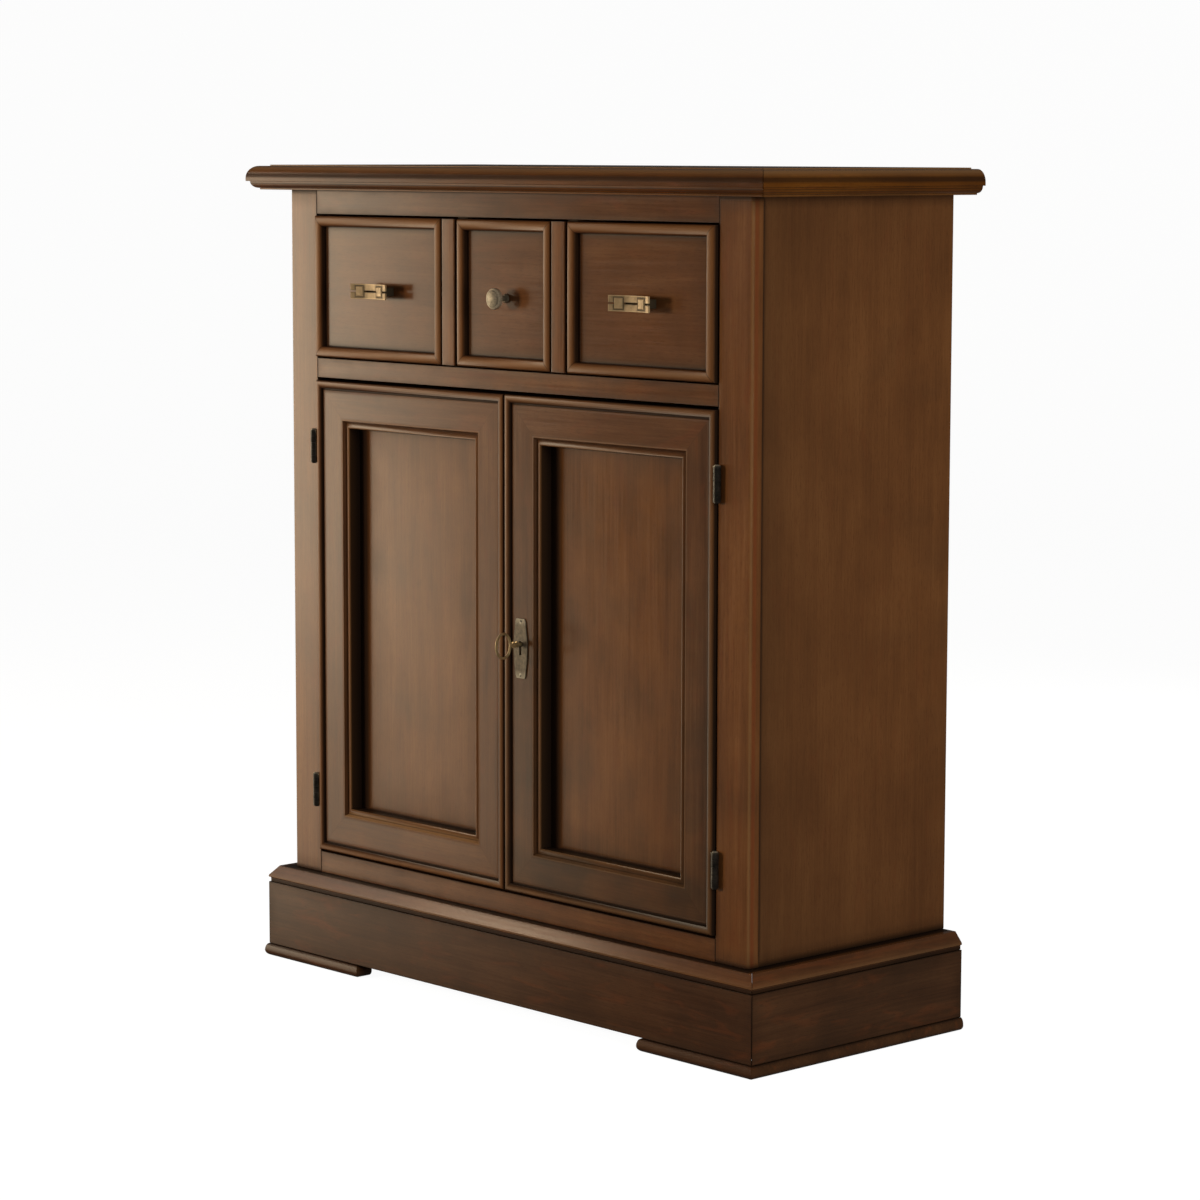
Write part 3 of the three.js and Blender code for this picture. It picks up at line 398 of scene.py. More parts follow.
def knob_look(node):
    """Greyed brass, rubbed bright round the rim and speckled on the face."""
    shader = Shader(node)
    low, high = mm_box(node)
    rise = shader.minus(shader.z, (low[2] + high[2]) / 2)
    squares = shader.math("ADD", shader.times(shader.x, shader.x), shader.times(rise, rise))
    radius = shader.math("SQRT", squares)
    neck = shader.remap(shader.y, high[1] - KNOB_NECK[0], high[1] - KNOB_NECK[1])
    ring = shader.curve(radius, [(0, 0.0), (8.6, 0.0), (9.5, 0.45), (10.2, 0.0), (12.5, 0.0)])
    specks = shader.remap(shader.blotches(2.2, detail=4), 0.55, 0.85, 0.0, 0.5)
    dirt = shader.most(ring, specks, shader.times(neck, 0.3))
    wear_and_highlight = shader.curve(radius, [(0, 0.05), (9.4, 0.05), (10.6, 0.5), (12.2, 0.85), (12.6, 0.6)])
    wear_and_highlight = shader.times(wear_and_highlight, shader.minus(1.0, neck))
    return metal(shader, PEWTER, DULL_PEWTER, 6.0, 0.32, wear_and_highlight, dirt, metallic=0.6)


def escutcheon_look(node):
    """A greyed plate with polished pin heads and worn, pinker ends."""
    shader = Shader(node)
    low, high = mm_box(node)
    ends = shader.inside(shader.z, low[2], high[2])
    beside = shader.off(shader.x, (low[0] + high[0]) / 2)
    from_pin = shader.most(beside, shader.off(ends, PIN_INSET))
    pin = shader.curve(from_pin, [(0, 0.9), (0.9, 0.8), (1.5, 0.0), (3, 0.0)])
    tips = shader.curve(ends, [(0, 0.35), (2.5, 0.25), (9, 0.0)])
    return metal(shader, PLATE, DULL_PLATE, 4.0, 0.36, shader.most(pin, tips), metallic=0.55, shine=POLISHED)


def hinge_look(node):
    """Nearly black iron, with a painted highlight on top of the knuckle."""
    shader = Shader(node)
    _, high = mm_box(node)
    wear_and_highlight = shader.curve(shader.minus(high[2], shader.z), [(0, 0.9), (0.9, 0.75), (1.6, 0.1), (4, 0.0)])
    return metal(shader, IRON, DULL_IRON, 8.0, 0.34, wear_and_highlight, metallic=0.8, shine=POLISHED)


def gathered_glaze(shader, distance, reach):
    """Glaze that gathers at a board's edges and thins out to nothing about reach mm from them."""
    wander = 9.0
    inwards = shader.minus(distance, wander / 2)
    wandering = shader.math("MULTIPLY_ADD", shader.blotches(35, detail=2), wander, inwards)
    near = shader.curve(distance, [(0, 0.85), (0.9, 0.45), (2.2, 0.12), (4, 0.0)])
    wide = shader.curve(wandering, [(0, 0.34), (reach * 0.3, 0.2), (reach, 0.0)])
    return shader.most(near, wide)


def board_look(node, axis, seed, across, look, reach=42.0):
    """A board with its grain along axis. Glaze gathers where the axes that across names leave it."""
    shader = Shader(node)
    low, high = mm_box(node)
    spans = dict(zip("XYZ", zip((shader.x, shader.y, shader.z), low, high)))
    distance = shader.least(*(shader.inside(*spans[letter]) for letter in across))
    return wood(shader, along(shader, axis, seed), look, gathered_glaze(shader, distance, reach))


def stile_look(node, seed):
    """A corner post, glazed beside the rails and the side panel, darker at its ends and pale at its corner.

    Its dark ends are painted shade against the top and the cap, and its pale corner is wear and a painted
    highlight. A red stripe runs down just behind the corner.
    """
    shader = Shader(node)
    low, high = mm_box(node)
    inner, outer = sorted((abs(low[0]), abs(high[0])))
    beside = shader.math("ABSOLUTE", shader.x)
    behind = shader.minus(shader.y, low[1])
    ends = shader.inside(shader.z, low[2], high[2])
    from_corner = shader.math("ADD", shader.minus(outer, beside), behind)
    glaze_and_shade = shader.most(
        shader.curve(shader.minus(beside, inner), [(0, 0.9), (0.8, 0.55), (1.8, 0.12), (8, 0.04), (20, 0.0)]),
        shader.curve(shader.minus(high[1], shader.y), [(0, 0.95), (0.9, 0.6), (2.2, 0.1), (5, 0.0)]),
        shader.curve(ends, [(0, 0.95), (2.5, 0.75), (6, 0.3), (22, 0.0)]),
    )
    rub_and_highlight = shader.curve(from_corner, [(0, 0.5), (1.8, 0.42), (2.8, 0.06), (4.5, 0.0)])
    stripe = shader.curve(behind, [(0, 0.0), (3, 0.0), (4, 0.85), (8, 0.75), (10, 0.1), (17, 0.0)])
    return wood(shader, along(shader, "Z", seed), WARM_WALNUT, glaze_and_shade, rub_and_highlight, ruddy=stripe)


def side_look(node, seed):
    """A side panel, glazed and grimy beside its post, with painted shade under the top and over the cap."""
    shader = Shader(node)
    low, high = mm_box(node)
    from_post = shader.minus(shader.y, low[1])
    from_top = shader.minus(high[2], shader.z)
    from_cap = shader.minus(shader.z, low[2])
    glaze_and_shade = shader.most(
        shader.curve(from_post, [(0, 0.85), (1.5, 0.5), (4, 0.2), (12, 0.1), (60, 0.0)]),
        shader.curve(from_top, [(0, 0.5), (6, 0.2), (50, 0.1), (130, 0.0)]),
        shader.curve(from_cap, [(0, 0.97), (3, 0.8), (8, 0.4), (18, 0.22), (70, 0.14), (260, 0.0)]),
    )
    haze = shader.curve(from_post, [(0, 0.3), (40, 0.2), (150, 0.1), (300, 0.0)])
    return wood(shader, along(shader, "Z", seed), WARM_WALNUT, glaze_and_shade, contrast=0.5, haze=haze)


def moulding_look(node, axis, seed, look, glaze_and_shade_stops, rub_and_highlight_stops=None, matt=0.6):
    """A moulding whose dark and pale lines follow its height, on the top ones partly painted shade and
    highlight.
    """
    shader = Shader(node)
    low, _ = mm_box(node)
    height = shader.minus(shader.z, low[2])
    rub_and_highlight = shader.curve(height, rub_and_highlight_stops) if rub_and_highlight_stops else 0.0
    return wood(shader, along(shader, axis, seed), look, shader.curve(height, glaze_and_shade_stops), rub_and_highlight, matt=matt)


def cap_look(node, axis, seed):
    """The plinth's cap: dark at its foot, with painted shade against the case and a rubbed line between."""
    shader = Shader(node)
    low, _ = mm_box(node)
    _, post = mm_box("front_stile_right")
    height = shader.minus(shader.z, low[2])
    from_side = shader.minus(shader.math("ABSOLUTE", shader.x), post[0])
    from_case = shader.most(from_side, shader.minus(FACE_Y, shader.y))
    glaze_and_shade = shader.most(shader.curve(height, CAP_GLAZE), shader.curve(from_case, CAP_SHADE))
    return wood(shader, along(shader, axis, seed), CAP_WALNUT, glaze_and_shade, shader.curve(height, CAP_RUB), matt=0.1)


def frame_place(shader, from_sides, from_ends, seed):
    """Grain along each member of a mitred frame in the X-Z plane, and how near a point is to a mitre."""
    rail = shader.math("GREATER_THAN", from_sides, from_ends)
    across = shader.choose(rail, shader.x, shader.z)
    length = shader.choose(rail, shader.z, shader.x)
    member = shader.math("MULTIPLY_ADD", rail, MEMBER_SHIFT, seed)
    place = shader.vector(across, shader.math("ADD", shader.y, member), length)
    return place, shader.off(from_sides, from_ends)


def door_frame_glaze_and_shade(shader, distance, mitre, back):
    """Glaze in the quirk and at the mitres, painted shade on the walls behind the face, and a plainer share
    of glaze on the back.
    """
    quirk, flat = DOOR_QUIRK
    step, bead = DOOR_STEP
    front = shader.curve(
        distance,
        [
            (0, 0.95), (0.8, 0.5), (2.4, 0.1), (quirk - 4, 0.06), (quirk - 2, 0.4), (quirk + 0.3, 0.95),
            (flat - 0.3, 0.8), (flat + 0.7, 0.2), (flat + 5, 0.05), (step - 4, 0.02), (step - 0.4, 0.06),
            (step + 0.8, 0.2), (bead - 0.4, 0.25), (bead + 0.8, 0.1), (DOOR_SIGHT, 0.1),
        ],
    )
    lines = shader.curve(mitre, [(0, 0.35), (0.3, 0.2), (0.8, 0.0), (3.5, 0.0)])
    # Painted shade on the frame's walls that go back from its face, into the opening and the gaps
    depth = shader.minus(shader.y, FACE_Y + DOOR_BEAD_DEPTH)
    wall_shade = shader.curve(depth, [(0, 0.0), (0.9, 0.35), (2.2, 0.85), (14, 0.97)])
    plain_stops = [(0, 0.6), (2, 0.2), (12, 0.1), (DOOR_SIGHT - 3, 0.1), (DOOR_SIGHT, 0.6)]
    return shader.choose(back, shader.most(front, lines, wall_shade), shader.curve(distance, plain_stops))


def door_frame_rub_and_highlight(shader, distance, foot_step_highlight, back):
    """Wood rubbed pale on the front's crown, step and bead, and a painted highlight all over the step where
    foot_step_highlight is high.
    """
    step, bead = DOOR_STEP
    edges = shader.curve(
        distance,
        [
            (0, 0.0), (1.6, 0.04), (4.2, 0.2), (7, 0.0), (step - 1.2, 0.0), (step - 0.2, 0.25),
            (step + 0.8, 0.0), (bead + 1.6, 0.05), (DOOR_SIGHT - 1.6, 0.12), (DOOR_SIGHT - 0.3, 0.28),
            (DOOR_SIGHT, 0.2),
        ],
    )
    whole_step = shader.curve(
        distance,
        [
            (0, 0.0), (step - 0.5, 0.0), (step + 0.8, 1.0), (bead + 1.5, 1.0), (bead + 3, 0.3),
            (DOOR_SIGHT, 0.0),
        ],
    )
    return shader.choose(back, shader.most(edges, shader.times(whole_step, foot_step_highlight)), 0.0)


def door_frame_look(node, seed, antique):
    """A mitred door frame, darker at its foot and with a fainter painted highlight on its foot's step the
    higher antique is.
    """
    shader = Shader(node)
    low, high = mm_box(node)
    sides = shader.inside(shader.x, low[0], high[0])
    ends = shader.inside(shader.z, low[2], high[2])
    distance = shader.least(sides, ends)
    place, mitre = frame_place(shader, sides, ends, seed)
    back = shader.math("GREATER_THAN", shader.y, high[1] - BACK_SKIN)
    glaze_and_shade = door_frame_glaze_and_shade(shader, distance, mitre, back)

    # A painted highlight on the foot rail's step, fainter the higher antique is
    on_rail = shader.math("LESS_THAN", ends, sides)
    at_foot = shader.math("LESS_THAN", shader.z, low[2] + DOOR_FOOT)
    foot_step_highlight = shader.times(on_rail, at_foot, 0.95 - 1.3 * antique)
    rub_and_highlight = door_frame_rub_and_highlight(shader, distance, foot_step_highlight, back)

    cloudy = shader.remap(shader.noise(shader.place, (60, 60, 45)), 0.2, 0.8, 0.55, 1.1)
    towards_foot = shader.remap(shader.z, high[2], low[2], 0.25, 1.0)
    haze = shader.times(towards_foot, antique, cloudy)
    flat, step = DOOR_QUIRK[1], DOOR_STEP[0]
    matt = shader.curve(
        distance,
        [
            (0, 1.0), (flat + 1, 1.0), (flat + 4, 0.0), (step - 3, 0.0), (step - 1, 0.8), (DOOR_SIGHT, 0.8),
        ],
    )
    return wood(shader, place, WALNUT, glaze_and_shade, rub_and_highlight, matt=matt, haze=haze)


def door_panel_look(node, frame_node, seed, antique):
    """A door's panel, glazed along the sight edge of its frame, with a painted shadow broad at the left."""
    shader = Shader(node)
    low, high = mm_box(frame_node)
    sides = shader.inside(shader.x, low[0] + DOOR_SIGHT, high[0] - DOOR_SIGHT)
    ends = shader.inside(shader.z, low[2] + DOOR_SIGHT, high[2] - DOOR_SIGHT)
    from_left = shader.minus(shader.x, low[0] + DOOR_SIGHT)
    wander = shader.remap(shader.blotches(40), 0, 1, 0.6, 1.5)
    wandering = shader.times(shader.least(sides, ends), wander)
    glaze_and_shade = shader.most(
        # A painted shadow of the frame, broad along the panel's left edge
        shader.curve(from_left, [(0, 0.97), (12, 0.92), (16, 0.65), (20, 0.25), (28, 0.05), (40, 0.0)]),
        shader.curve(ends, [(0, 0.95), (1.6, 0.75), (4, 0.3), (9, 0.12), (20, 0.0)]),
        shader.curve(wandering, [(0, 0.45), (12, 0.22), (40, 0.08), (75, 0.0)]),
    )
    cloudy = shader.remap(shader.noise(shader.place, (55, 55, 70), detail=4), 0.35, 0.85, 0.2, 1.0)
    haze = shader.times(cloudy, 0.5 * antique)
    return wood(shader, along(shader, "Z", seed), PANEL_WALNUT, glaze_and_shade, contrast=0.8, haze=haze)


def drawer_glaze_and_shade(shader, distance, mitre, from_left, on_field):
    """Glaze at the bead's mitres and on the field along the bead, painted shade on the bead's outer wall, and
    the bead's painted shadow on the field at its left.
    """
    bead, crown = DRAWER_BEAD, DRAWER_CROWN
    over_bead = shader.curve(
        distance,
        [
            (0, 0.95), (0.5, 0.5), (1.4, 0.12), (crown - 2, 0.0), (crown + 2, 0.0), (bead - 2.2, 0.12),
            (bead - 0.5, 0.6), (bead, 0.9),
        ],
    )
    lines = shader.curve(mitre, [(0, 0.75), (0.4, 0.5), (0.9, 0.1), (2.4, 0.0)])
    # Painted shade on the bead's outer wall, where it goes back into the gap round the drawer
    depth = shader.minus(shader.y, FACE_Y - DRAWER_RISE)
    wall_shade = shader.curve(depth, [(0, 0.0), (1.6, 0.2), (3.6, 0.75), (6, 0.9)])
    wall_shade = shader.times(wall_shade, shader.math("LESS_THAN", distance, crown))
    seam_stops = [(0, 0.9), (bead, 0.9), (bead + 1.2, 0.6), (bead + 2.6, 0.2), (bead + 7, 0.0)]
    # A painted shadow that the bead casts on the field at its left
    left_shadow_stops = [(0, 0.9), (bead + 2, 0.8), (bead + 4.5, 0.5), (bead + 7, 0.12), (bead + 10, 0.0)]
    seam = shader.most(shader.curve(distance, seam_stops), shader.curve(from_left, left_shadow_stops))
    return shader.choose(on_field, shader.most(over_bead, lines, wall_shade), seam)


def drawer_look(node, seed):
    """A drawer front: a mitred bead, rubbed on its crown, round a flat field with grimy edges."""
    shader = Shader(node)
    low, high = mm_box(node)
    sides = shader.inside(shader.x, low[0], high[0])
    ends = shader.inside(shader.z, low[2], high[2])
    distance = shader.least(sides, ends)
    bead, crown = DRAWER_BEAD, DRAWER_CROWN
    on_field = shader.math("GREATER_THAN", distance, bead)
    bead_place, mitre = frame_place(shader, sides, ends, seed)
    field_place = along(shader, "X", seed + FIELD_SHIFT)
    places = {0: on_field, 4: bead_place, 5: field_place}
    place = shader.add("Mix", places, data_type="VECTOR").outputs[1]
    glaze_and_shade = drawer_glaze_and_shade(shader, distance, mitre, shader.minus(shader.x, low[0]), on_field)

    wandering = shader.times(distance, shader.remap(shader.blotches(30), 0, 1, 0.5, 1.6))
    from_corner = shader.minus(shader.math("ADD", sides, ends), 2 * bead)
    grimy_edges = shader.most(
        shader.curve(distance, [(0, 0.5), (bead, 0.5), (bead + 7, 0.25), (bead + 18, 0.1), (bead + 40, 0.0)]),
        shader.curve(wandering, [(0, 0.3), (bead, 0.3), (bead + 12, 0.14), (bead + 45, 0.0)]),
        shader.curve(from_corner, [(0, 0.6), (10, 0.45), (40, 0.0)]),
    )
    haze = shader.times(on_field, grimy_edges)
    rub_and_highlight = shader.curve(
        distance,
        [
            (0, 0.0), (crown - 4, 0.1), (crown - 1.5, 0.25), (crown + 1.5, 0.25), (crown + 4, 0.05),
            (bead - 1.5, 0.0), (bead, 0.0),
        ],
    )
    rub_and_highlight = shader.choose(on_field, rub_and_highlight, 0.0)
    matt = shader.choose(on_field, 1.0, 0.0)
    return wood(shader, place, WALNUT, glaze_and_shade, rub_and_highlight, contrast=0.55, matt=matt, haze=haze)


def smooth_group(limit):
    """A geometry group that shades smooth, but not across edges that turn more than limit degrees."""
    group = bpy.data.node_groups.new("smooth_by_angle", "GeometryNodeTree")
    group.interface.new_socket("Geometry", in_out="INPUT", socket_type="NodeSocketGeometry")
    group.interface.new_socket("Geometry", in_out="OUTPUT", socket_type="NodeSocketGeometry")
    start, end = group.nodes.new("NodeGroupInput"), group.nodes.new("NodeGroupOutput")
    faces = group.nodes.new("GeometryNodeSetShadeSmooth")
    edges = group.nodes.new("GeometryNodeSetShadeSmooth")
    edges.domain = "EDGE"
    edges.inputs["Shade Smooth"].default_value = False
    angle = group.nodes.new("GeometryNodeInputMeshEdgeAngle")
    sharp = group.nodes.new("FunctionNodeCompare")
    sharp.inputs[1].default_value = math.radians(limit)
    group.links.new(angle.outputs["Unsigned Angle"], sharp.inputs[0])
    group.links.new(sharp.outputs[0], edges.inputs["Selection"])
    group.links.new(start.outputs[0], faces.inputs["Geometry"])
    group.links.new(faces.outputs[0], edges.inputs["Geometry"])
    group.links.new(edges.outputs[0], end.inputs[0])
    return group


SMOOTH = smooth_group(SHARP_ANGLE)


def soften(ob, ease):
    """Shades a CAD solid as it is meant: one vertex per corner, flat faces whole, edges eased by ease mm."""
    weld = ob.modifiers.new("weld", "WELD")
    weld.merge_threshold = WELD * MM
    flat = ob.modifiers.new("flat", "DECIMATE")
    flat.decimate_type = "DISSOLVE"
    flat.angle_limit = math.radians(FLAT_ANGLE)
    ob.modifiers.new("smooth", "NODES").node_group = SMOOTH
    if ease:
        bevel = ob.modifiers.new("ease", "BEVEL")
        bevel.width = ease * MM
        bevel.segments = 2
        bevel.limit_method = "ANGLE"
        bevel.angle_limit = math.radians(EASED_ANGLE)
        bevel.harden_normals = False
    ob.modifiers.new("shade", "WEIGHTED_NORMAL").keep_sharp = True


def dress(node, ease, material):
    ob = NODES[node]
    ob.data.materials.clear()
    ob.data.materials.append(material)
    soften(ob, ease)


def dress_as(node, ease, make_look, *choices, **settings):
    """Dresses a node in a look that is made for it alone, with the choices and settings given."""
    dress(node, ease, make_look(node, *choices, **settings))


def dress_side(side, seed, antique):
    """The wooden pieces that the credenza has once at each side."""
    dress_as("front_stile_" + side, POST_EASE, stile_look, seed)
    dress_as("side_panel_" + side, BOARD_EASE, side_look, seed + 130)
    dress_as("drawer_divider_" + side, BOARD_EASE, board_look, "Z", seed + 260, "XZ", WARM_WALNUT, reach=8)
    dress_as("drawer_partition_" + side, BOARD_EASE, board_look, "Y", seed + 390, "YZ", OAK)
    dress_as("drawer_tray_" + side, BOARD_EASE, board_look, "Y", seed + 510, "Z", OAK, reach=20)
    dress_as("drawer_bottom_" + side, UNEASED, board_look, "X", seed + 640, "XY", PLY)
    door = "door_frame_" + side
    dress_as(door, UNEASED, door_frame_look, seed + 770, antique)
    dress_as("door_panel_" + side, UNEASED, door_panel_look, door, seed + 40, antique)
    dress_as("drawer_front_" + side, UNEASED, drawer_look, seed + 210)
    top = "top_moulding_" + side
    dress_as(top, BOARD_EASE, moulding_look, "Y", seed + 320, TOP_SIDE_WALNUT, TOP_GLAZE_AND_SHADE, TOP_RUB_AND_HIGHLIGHT, matt=0.3)
    dress_as("plinth_side_" + side, PLINTH_EASE, board_look, "Y", seed + 430, "YZ", DARK_WALNUT, reach=18)
    dress_as("plinth_cap_" + side, PLINTH_EASE, cap_look, "Y", seed + 540)
    dress_as("base_moulding_" + side, PLINTH_EASE, moulding_look, "X", seed + 650, DARK_WALNUT, BASE_GLAZE)


def dress_middle():
    """The wooden pieces between the sides, and those that run from side to side."""
    dress_as("drawer_front_centre", UNEASED, drawer_look, 1500)
    dress_as("drawer_tray_centre", BOARD_EASE, board_look, "Y", 1600, "Z", OAK, reach=20)
    dress_as("drawer_bottom_centre", UNEASED, board_look, "X", 1700, "XY", PLY)
    rails = {"top_rail": RAIL_WALNUT, "middle_rail": WALNUT, "bottom_rail": WALNUT}
    for i, (rail, look) in enumerate(rails.items()):
        dress_as(rail, BOARD_EASE, board_look, "X", 1800.0 + 90 * i, "XZ", look, reach=10)
    for i, inner in enumerate(("cabinet_floor", "shelf", "drawer_deck")):
        dress_as(inner, BOARD_EASE, board_look, "X", 2100.0 + 90 * i, "XY", OAK)
    dress_as("back_panel", BOARD_EASE, board_look, "Z", 2400, "XZ", PLY)
    top = "top_front_moulding"
    dress_as(top, BOARD_EASE, moulding_look, "X", 2500, TOP_WALNUT, TOP_GLAZE_AND_SHADE, TOP_RUB_AND_HIGHLIGHT, matt=0.25)
    dress_as("top_panel", TOP_EASE, board_look, "X", 2600, "XY", PANEL_WALNUT, reach=40)
    dress_as("plinth_front", PLINTH_EASE, board_look, "X", 2700, "XZ", DARK_WALNUT, reach=18)
    dress_as("plinth_back", PLINTH_EASE, board_look, "X", 2800, "XZ", DARK_WALNUT, reach=18)
    dress_as("plinth_cap_front", PLINTH_EASE, cap_look, "X", 2900)


def dress_woodwork():
    """Every wooden piece. The number that each gets shifts its grain, so it is a different one for each."""
    for i, side in enumerate(("left", "right")):
        dress_side(side, SIDE_SHIFT * i, ANTIQUE[side])
    dress_middle()


def dress_hardware():
    steel = metal(Shader("steel"), STEEL, DULL_STEEL, 12.0, 0.36)
    for node in ("lock_case", "lock_bolt", "strike_plate", "door_bolt", "bolt_plate"):
        dress(node, UNEASED, steel)
    dress("key", UNEASED, metal(Shader("aged_brass"), KEY_BRASS, DULL_KEY_BRASS, 5.0, 0.26, metallic=0.8))
    dress_as("drawer_knob", METAL_EASE, knob_look)
    dress_as("escutcheon", METAL_EASE, escutcheon_look)
    for node in NODES:
        if node.startswith("drawer_pull"):
            dress_as(node, PULL_EASE, pull_look)
        elif node.startswith("hinge_"):
            dress_as(node, UNEASED, hinge_look)


def add_corner_blocks():
    """Blocks glued inside the plinth's front corners, behind the mitres. Sizes are in mm."""
    size, clearance = 24.0, 0.2
    front, cap = mm_box("plinth_front"), mm_box("plinth_cap_front")
    for name, sign in (("left", -1), ("right", 1)):
        side = mm_box("plinth_side_" + name)
        inner = min(abs(side[0][0]), abs(side[1][0]))
        low = Vector((inner - clearance - size, front[1][1] + clearance, front[0][2] + clearance))
        high = Vector((inner - clearance, front[1][1] + clearance + size, cap[0][2] - clearance))
        middle, span = (low + high) / 2 * MM, (high - low) * MM
        bpy.ops.mesh.primitive_cube_add(size=1, location=(sign * middle.x, middle.y, middle.z))
        block = bpy.context.object
        block.name = "plinth_block_" + name
        block.scale = span
        shader = Shader(block.name)
        block.data.materials.append(wood(shader, along(shader, "Z", 60.0 * sign), DARK_WALNUT, glaze_and_shade=0.5))
        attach(block, "case")


def add_camera():
    azimuth, elevation = CAMERA_AZIMUTH, CAMERA_ELEVATION
    ahead = Vector(
        (
            -math.sin(azimuth) * math.cos(elevation),
            math.cos(azimuth) * math.cos(elevation),
            -math.sin(elevation),
        )
    )
    level = Vector((math.cos(azimuth), math.sin(azimuth), 0.0))
    rise = level.cross(ahead)
    right = level * math.cos(CAMERA_ROLL) + rise * math.sin(CAMERA_ROLL)
    up = rise * math.cos(CAMERA_ROLL) - level * math.sin(CAMERA_ROLL)
    turn = Matrix((right, up, -ahead)).transposed().to_4x4()
    data = bpy.data.cameras.new("camera")
    data.lens = CAMERA_LENS
    data.sensor_width = CAMERA_SENSOR
    camera = bpy.data.objects.new("camera", data)
    camera.matrix_world = Matrix.Translation(CAMERA_PLACE) @ turn
    bpy.context.scene.collection.objects.link(camera)
    bpy.context.scene.camera = camera


def plain_material(name, inputs):
    """A material that is the same all over: a new one's own Principled shader, with some inputs set."""
    material = bpy.data.materials.new(name)
    material.use_nodes = True
    shader = material.node_tree.nodes["Principled BSDF"]
    for key, value in inputs.items():
        shader.inputs[key].default_value = value
    return material


def add_backdrop():
    """A pale floor that curves up far behind the piece, whichever way it is seen from."""
    inner_radius, floor_radius, curve, height, sides, steps = 1.5, 6.0, 2.0, 6.0, 96, 12
    rings = [(inner_radius, 0.0), (floor_radius, 0.0)]
    for i in range(1, steps + 1):
        turn = math.pi / 2 * i / steps
        rings.append((floor_radius + curve * math.sin(turn), curve * (1 - math.cos(turn))))
    rings.append((floor_radius + curve, height))
    points = [(0.0, 0.0, 0.0)]
    for radius, z in rings:
        for i in range(sides):
            turn = 2 * math.pi * i / sides
            points.append((radius * math.cos(turn), radius * math.sin(turn), z))
    faces = []
    for i in range(sides):
        j = (i + 1) % sides
        faces.append((0, 1 + i, 1 + j))
        for ring in range(len(rings) - 1):
            a, b = 1 + ring * sides, 1 + (ring + 1) * sides
            faces.append((a + i, b + i, b + j, a + j))
    mesh = bpy.data.meshes.new("backdrop")
    mesh.from_pydata(points, [], faces)
    mesh.shade_smooth()
    backdrop = bpy.data.objects.new("backdrop", mesh)
    bpy.context.scene.collection.objects.link(backdrop)
    matt = {"Base Color": (*PAPER, 1.0), "Roughness": PAPER_ROUGHNESS, "Specular IOR Level": 0.0}
    glow = {"Emission Color": (*WHITE, 1.0), "Emission Strength": PAPER_GLOW}
    mesh.materials.append(plain_material("paper", {**matt, **glow}))
    backdrop.visible_diffuse = False
    backdrop.visible_glossy = False
    backdrop.visible_shadow = False


def add_floor():
    """A paler patch of floor round the piece, which the camera and the lacquer don't see: it only bounces
    light onto the piece and blocks light from below.
    """
    radius, place = 1.7, (0, -0.2, -0.002)
    bpy.ops.mesh.primitive_circle_add(vertices=64, radius=radius, fill_type="NGON", location=place)
    floor = bpy.context.object
    floor.name = "floor"
    card = plain_material("card", {"Base Color": (*CARD, 1.0), "Roughness": PAPER_ROUGHNESS})
    floor.data.materials.append(card)
    floor.visible_camera = False
    floor.visible_glossy = False


def window_material(low):
    """The window's glow over its height and its width, in mm. Its lit part is wider towards its foot."""
    shader = Shader("window_glow")
    lean, lean_top, lean_foot = 500, 300, -500
    rise = shader.curve(
        shader.minus(shader.z, low),
        [
            (0, 0.0), (200, 0.03), (550, 0.14), (730, 0.43), (900, 0.37), (1200, 0.64), (1400, 0.9),
            (1800, 1.0), (2480, 1.0), (2540, 0.2),
        ],
    )
    lower = shader.remap(shader.z, lean_top, lean_foot)
    fade = shader.curve(
        shader.math("MULTIPLY_ADD", lower, -lean, shader.times(shader.y, -1)),
        [
            (0, 1.0), (2130, 1.0), (2250, 0.76), (2380, 0.54), (2480, 0.32), (2580, 0.14), (2700, 0.03),
            (2850, 0.0), (3050, 0.0),
        ],
    )
    strength = shader.times(rise, fade, WINDOW_GLOW)
    glow = {"Emission Color": (*SHEEN, 1.0), "Emission Strength": strength, "Specular IOR Level": 0.0}
    return shader.finish((*BLACK, 1.0), PAPER_ROUGHNESS, 0.0, 0.0, **glow)


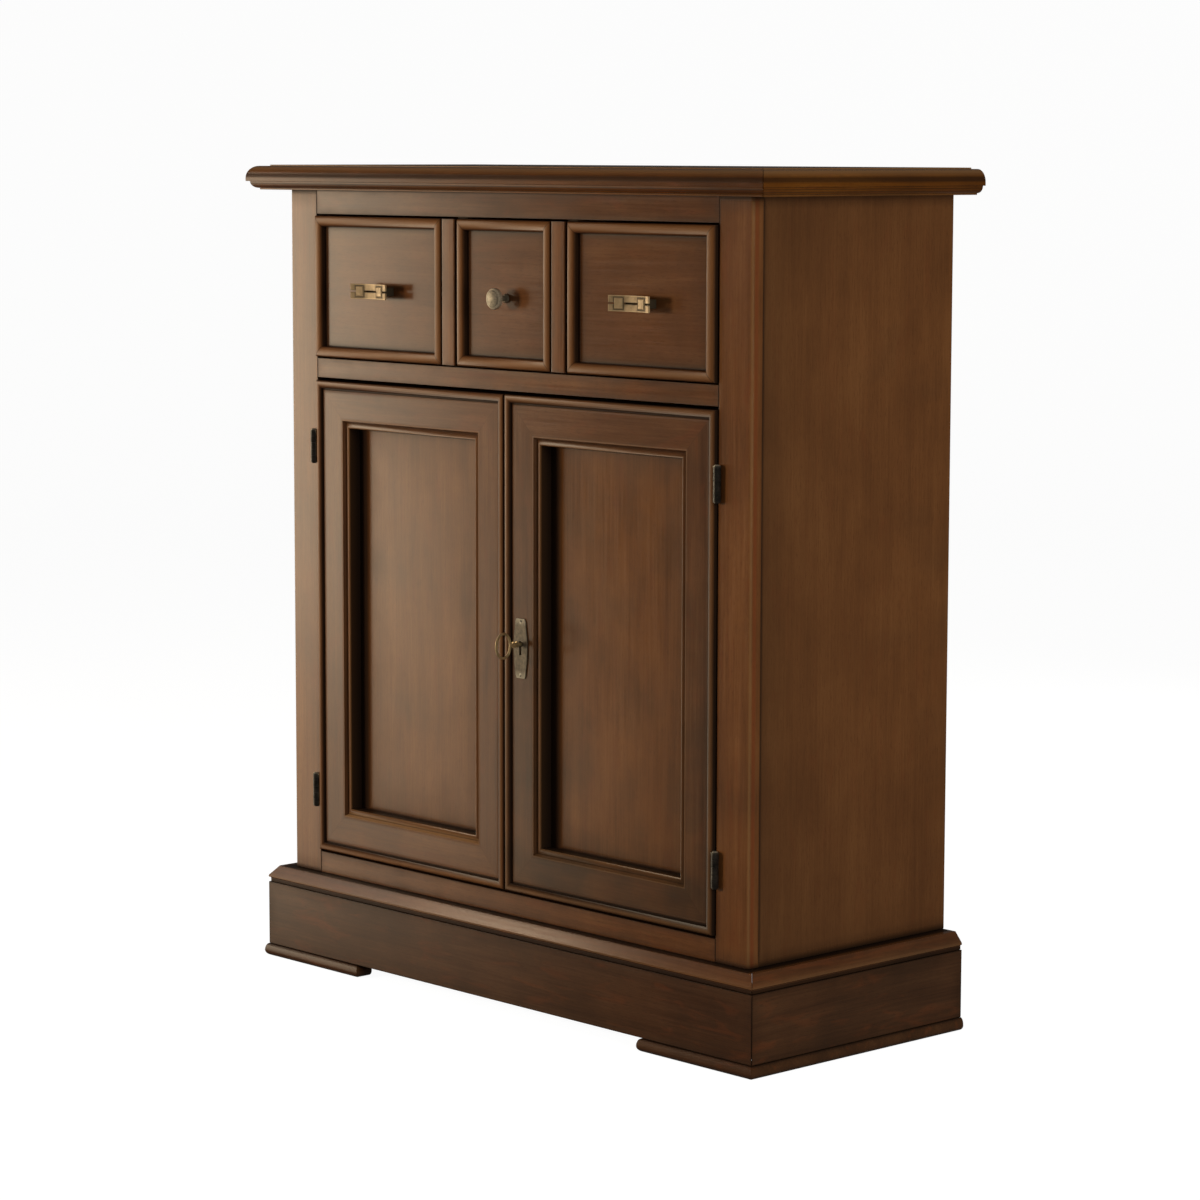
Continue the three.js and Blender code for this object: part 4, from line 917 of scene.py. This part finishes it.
def add_window():
    """The big softbox at the left as the lacquer mirrors it: it fades towards its foot and its right edge."""
    x, near, far, low, high = -2.9, -0.3, -3.2, -1.2, 1.34
    mesh = bpy.data.meshes.new("window")
    mesh.from_pydata([(x, near, low), (x, far, low), (x, far, high), (x, near, high)], [], [(0, 1, 2, 3)])
    window = bpy.data.objects.new("window", mesh)
    bpy.context.scene.collection.objects.link(window)
    mesh.materials.append(window_material(low / MM))
    window.visible_camera = False
    window.visible_diffuse = False
    window.visible_shadow = False


def add_softbox(name, place, target, size, radiance, colour, diffuse=True, glossy=True):
    """A rectangular light, as wide and high as size says, that faces its target and isn't seen itself."""
    data = bpy.data.lights.new(name, "AREA")
    data.color = colour
    data.shape = "RECTANGLE"
    data.size, data.size_y = size
    data.energy = radiance * math.pi * size[0] * size[1]
    light = bpy.data.objects.new(name, data)
    light.location = place
    light.rotation_euler = (Vector(target) - Vector(place)).to_track_quat("-Z", "Y").to_euler()
    light.visible_diffuse = diffuse
    light.visible_glossy = glossy
    light.visible_camera = False
    bpy.context.scene.collection.objects.link(light)


def add_light():
    """Soft light on the wood, and two small lights that only the lacquer mirrors, most of all the cap's."""
    world = bpy.data.worlds.new("studio")
    world.use_nodes = True
    background = world.node_tree.nodes["Background"]
    background.inputs["Color"].default_value = (*WARM, 1.0)
    background.inputs["Strength"].default_value = AMBIENT
    bpy.context.scene.world = world
    middle = (0.0, -0.1, 0.6)
    face = (0.0, -0.1, 0.70)
    back = (0.0, 0.2, 0.5)
    cap = (0.05, -0.16, 0.107)
    add_softbox("key", (-1.27, -2.28, 0.95), middle, (0.5, 0.5), 50.0, WARM, glossy=False)
    add_softbox("window", (-2.95, -1.40, 0.70), face, (1.6, 1.36), 4.8, SHEEN, glossy=False)
    add_softbox("fill", (2.95, -0.55, 1.15), middle, (1.2, 1.6), 8.7, NEUTRAL, glossy=False)
    add_softbox("behind", (0.0, 2.5, 1.2), back, (0.78, 1.1), 8.0, WARM, glossy=False)
    add_softbox("upper_left", (-1.93, -1.02, 1.715), cap, (0.22, 0.22), 10.0, AMBER, diffuse=False)
    add_softbox("far_left", (-2.02, -0.86, 1.38), cap, (0.36, 0.36), 1.7, CREAM, diffuse=False)


dress_woodwork()
dress_hardware()
add_corner_blocks()
add_camera()
add_backdrop()
add_floor()
add_window()
add_light()
bpy.context.scene.view_settings.view_transform = "Standard"
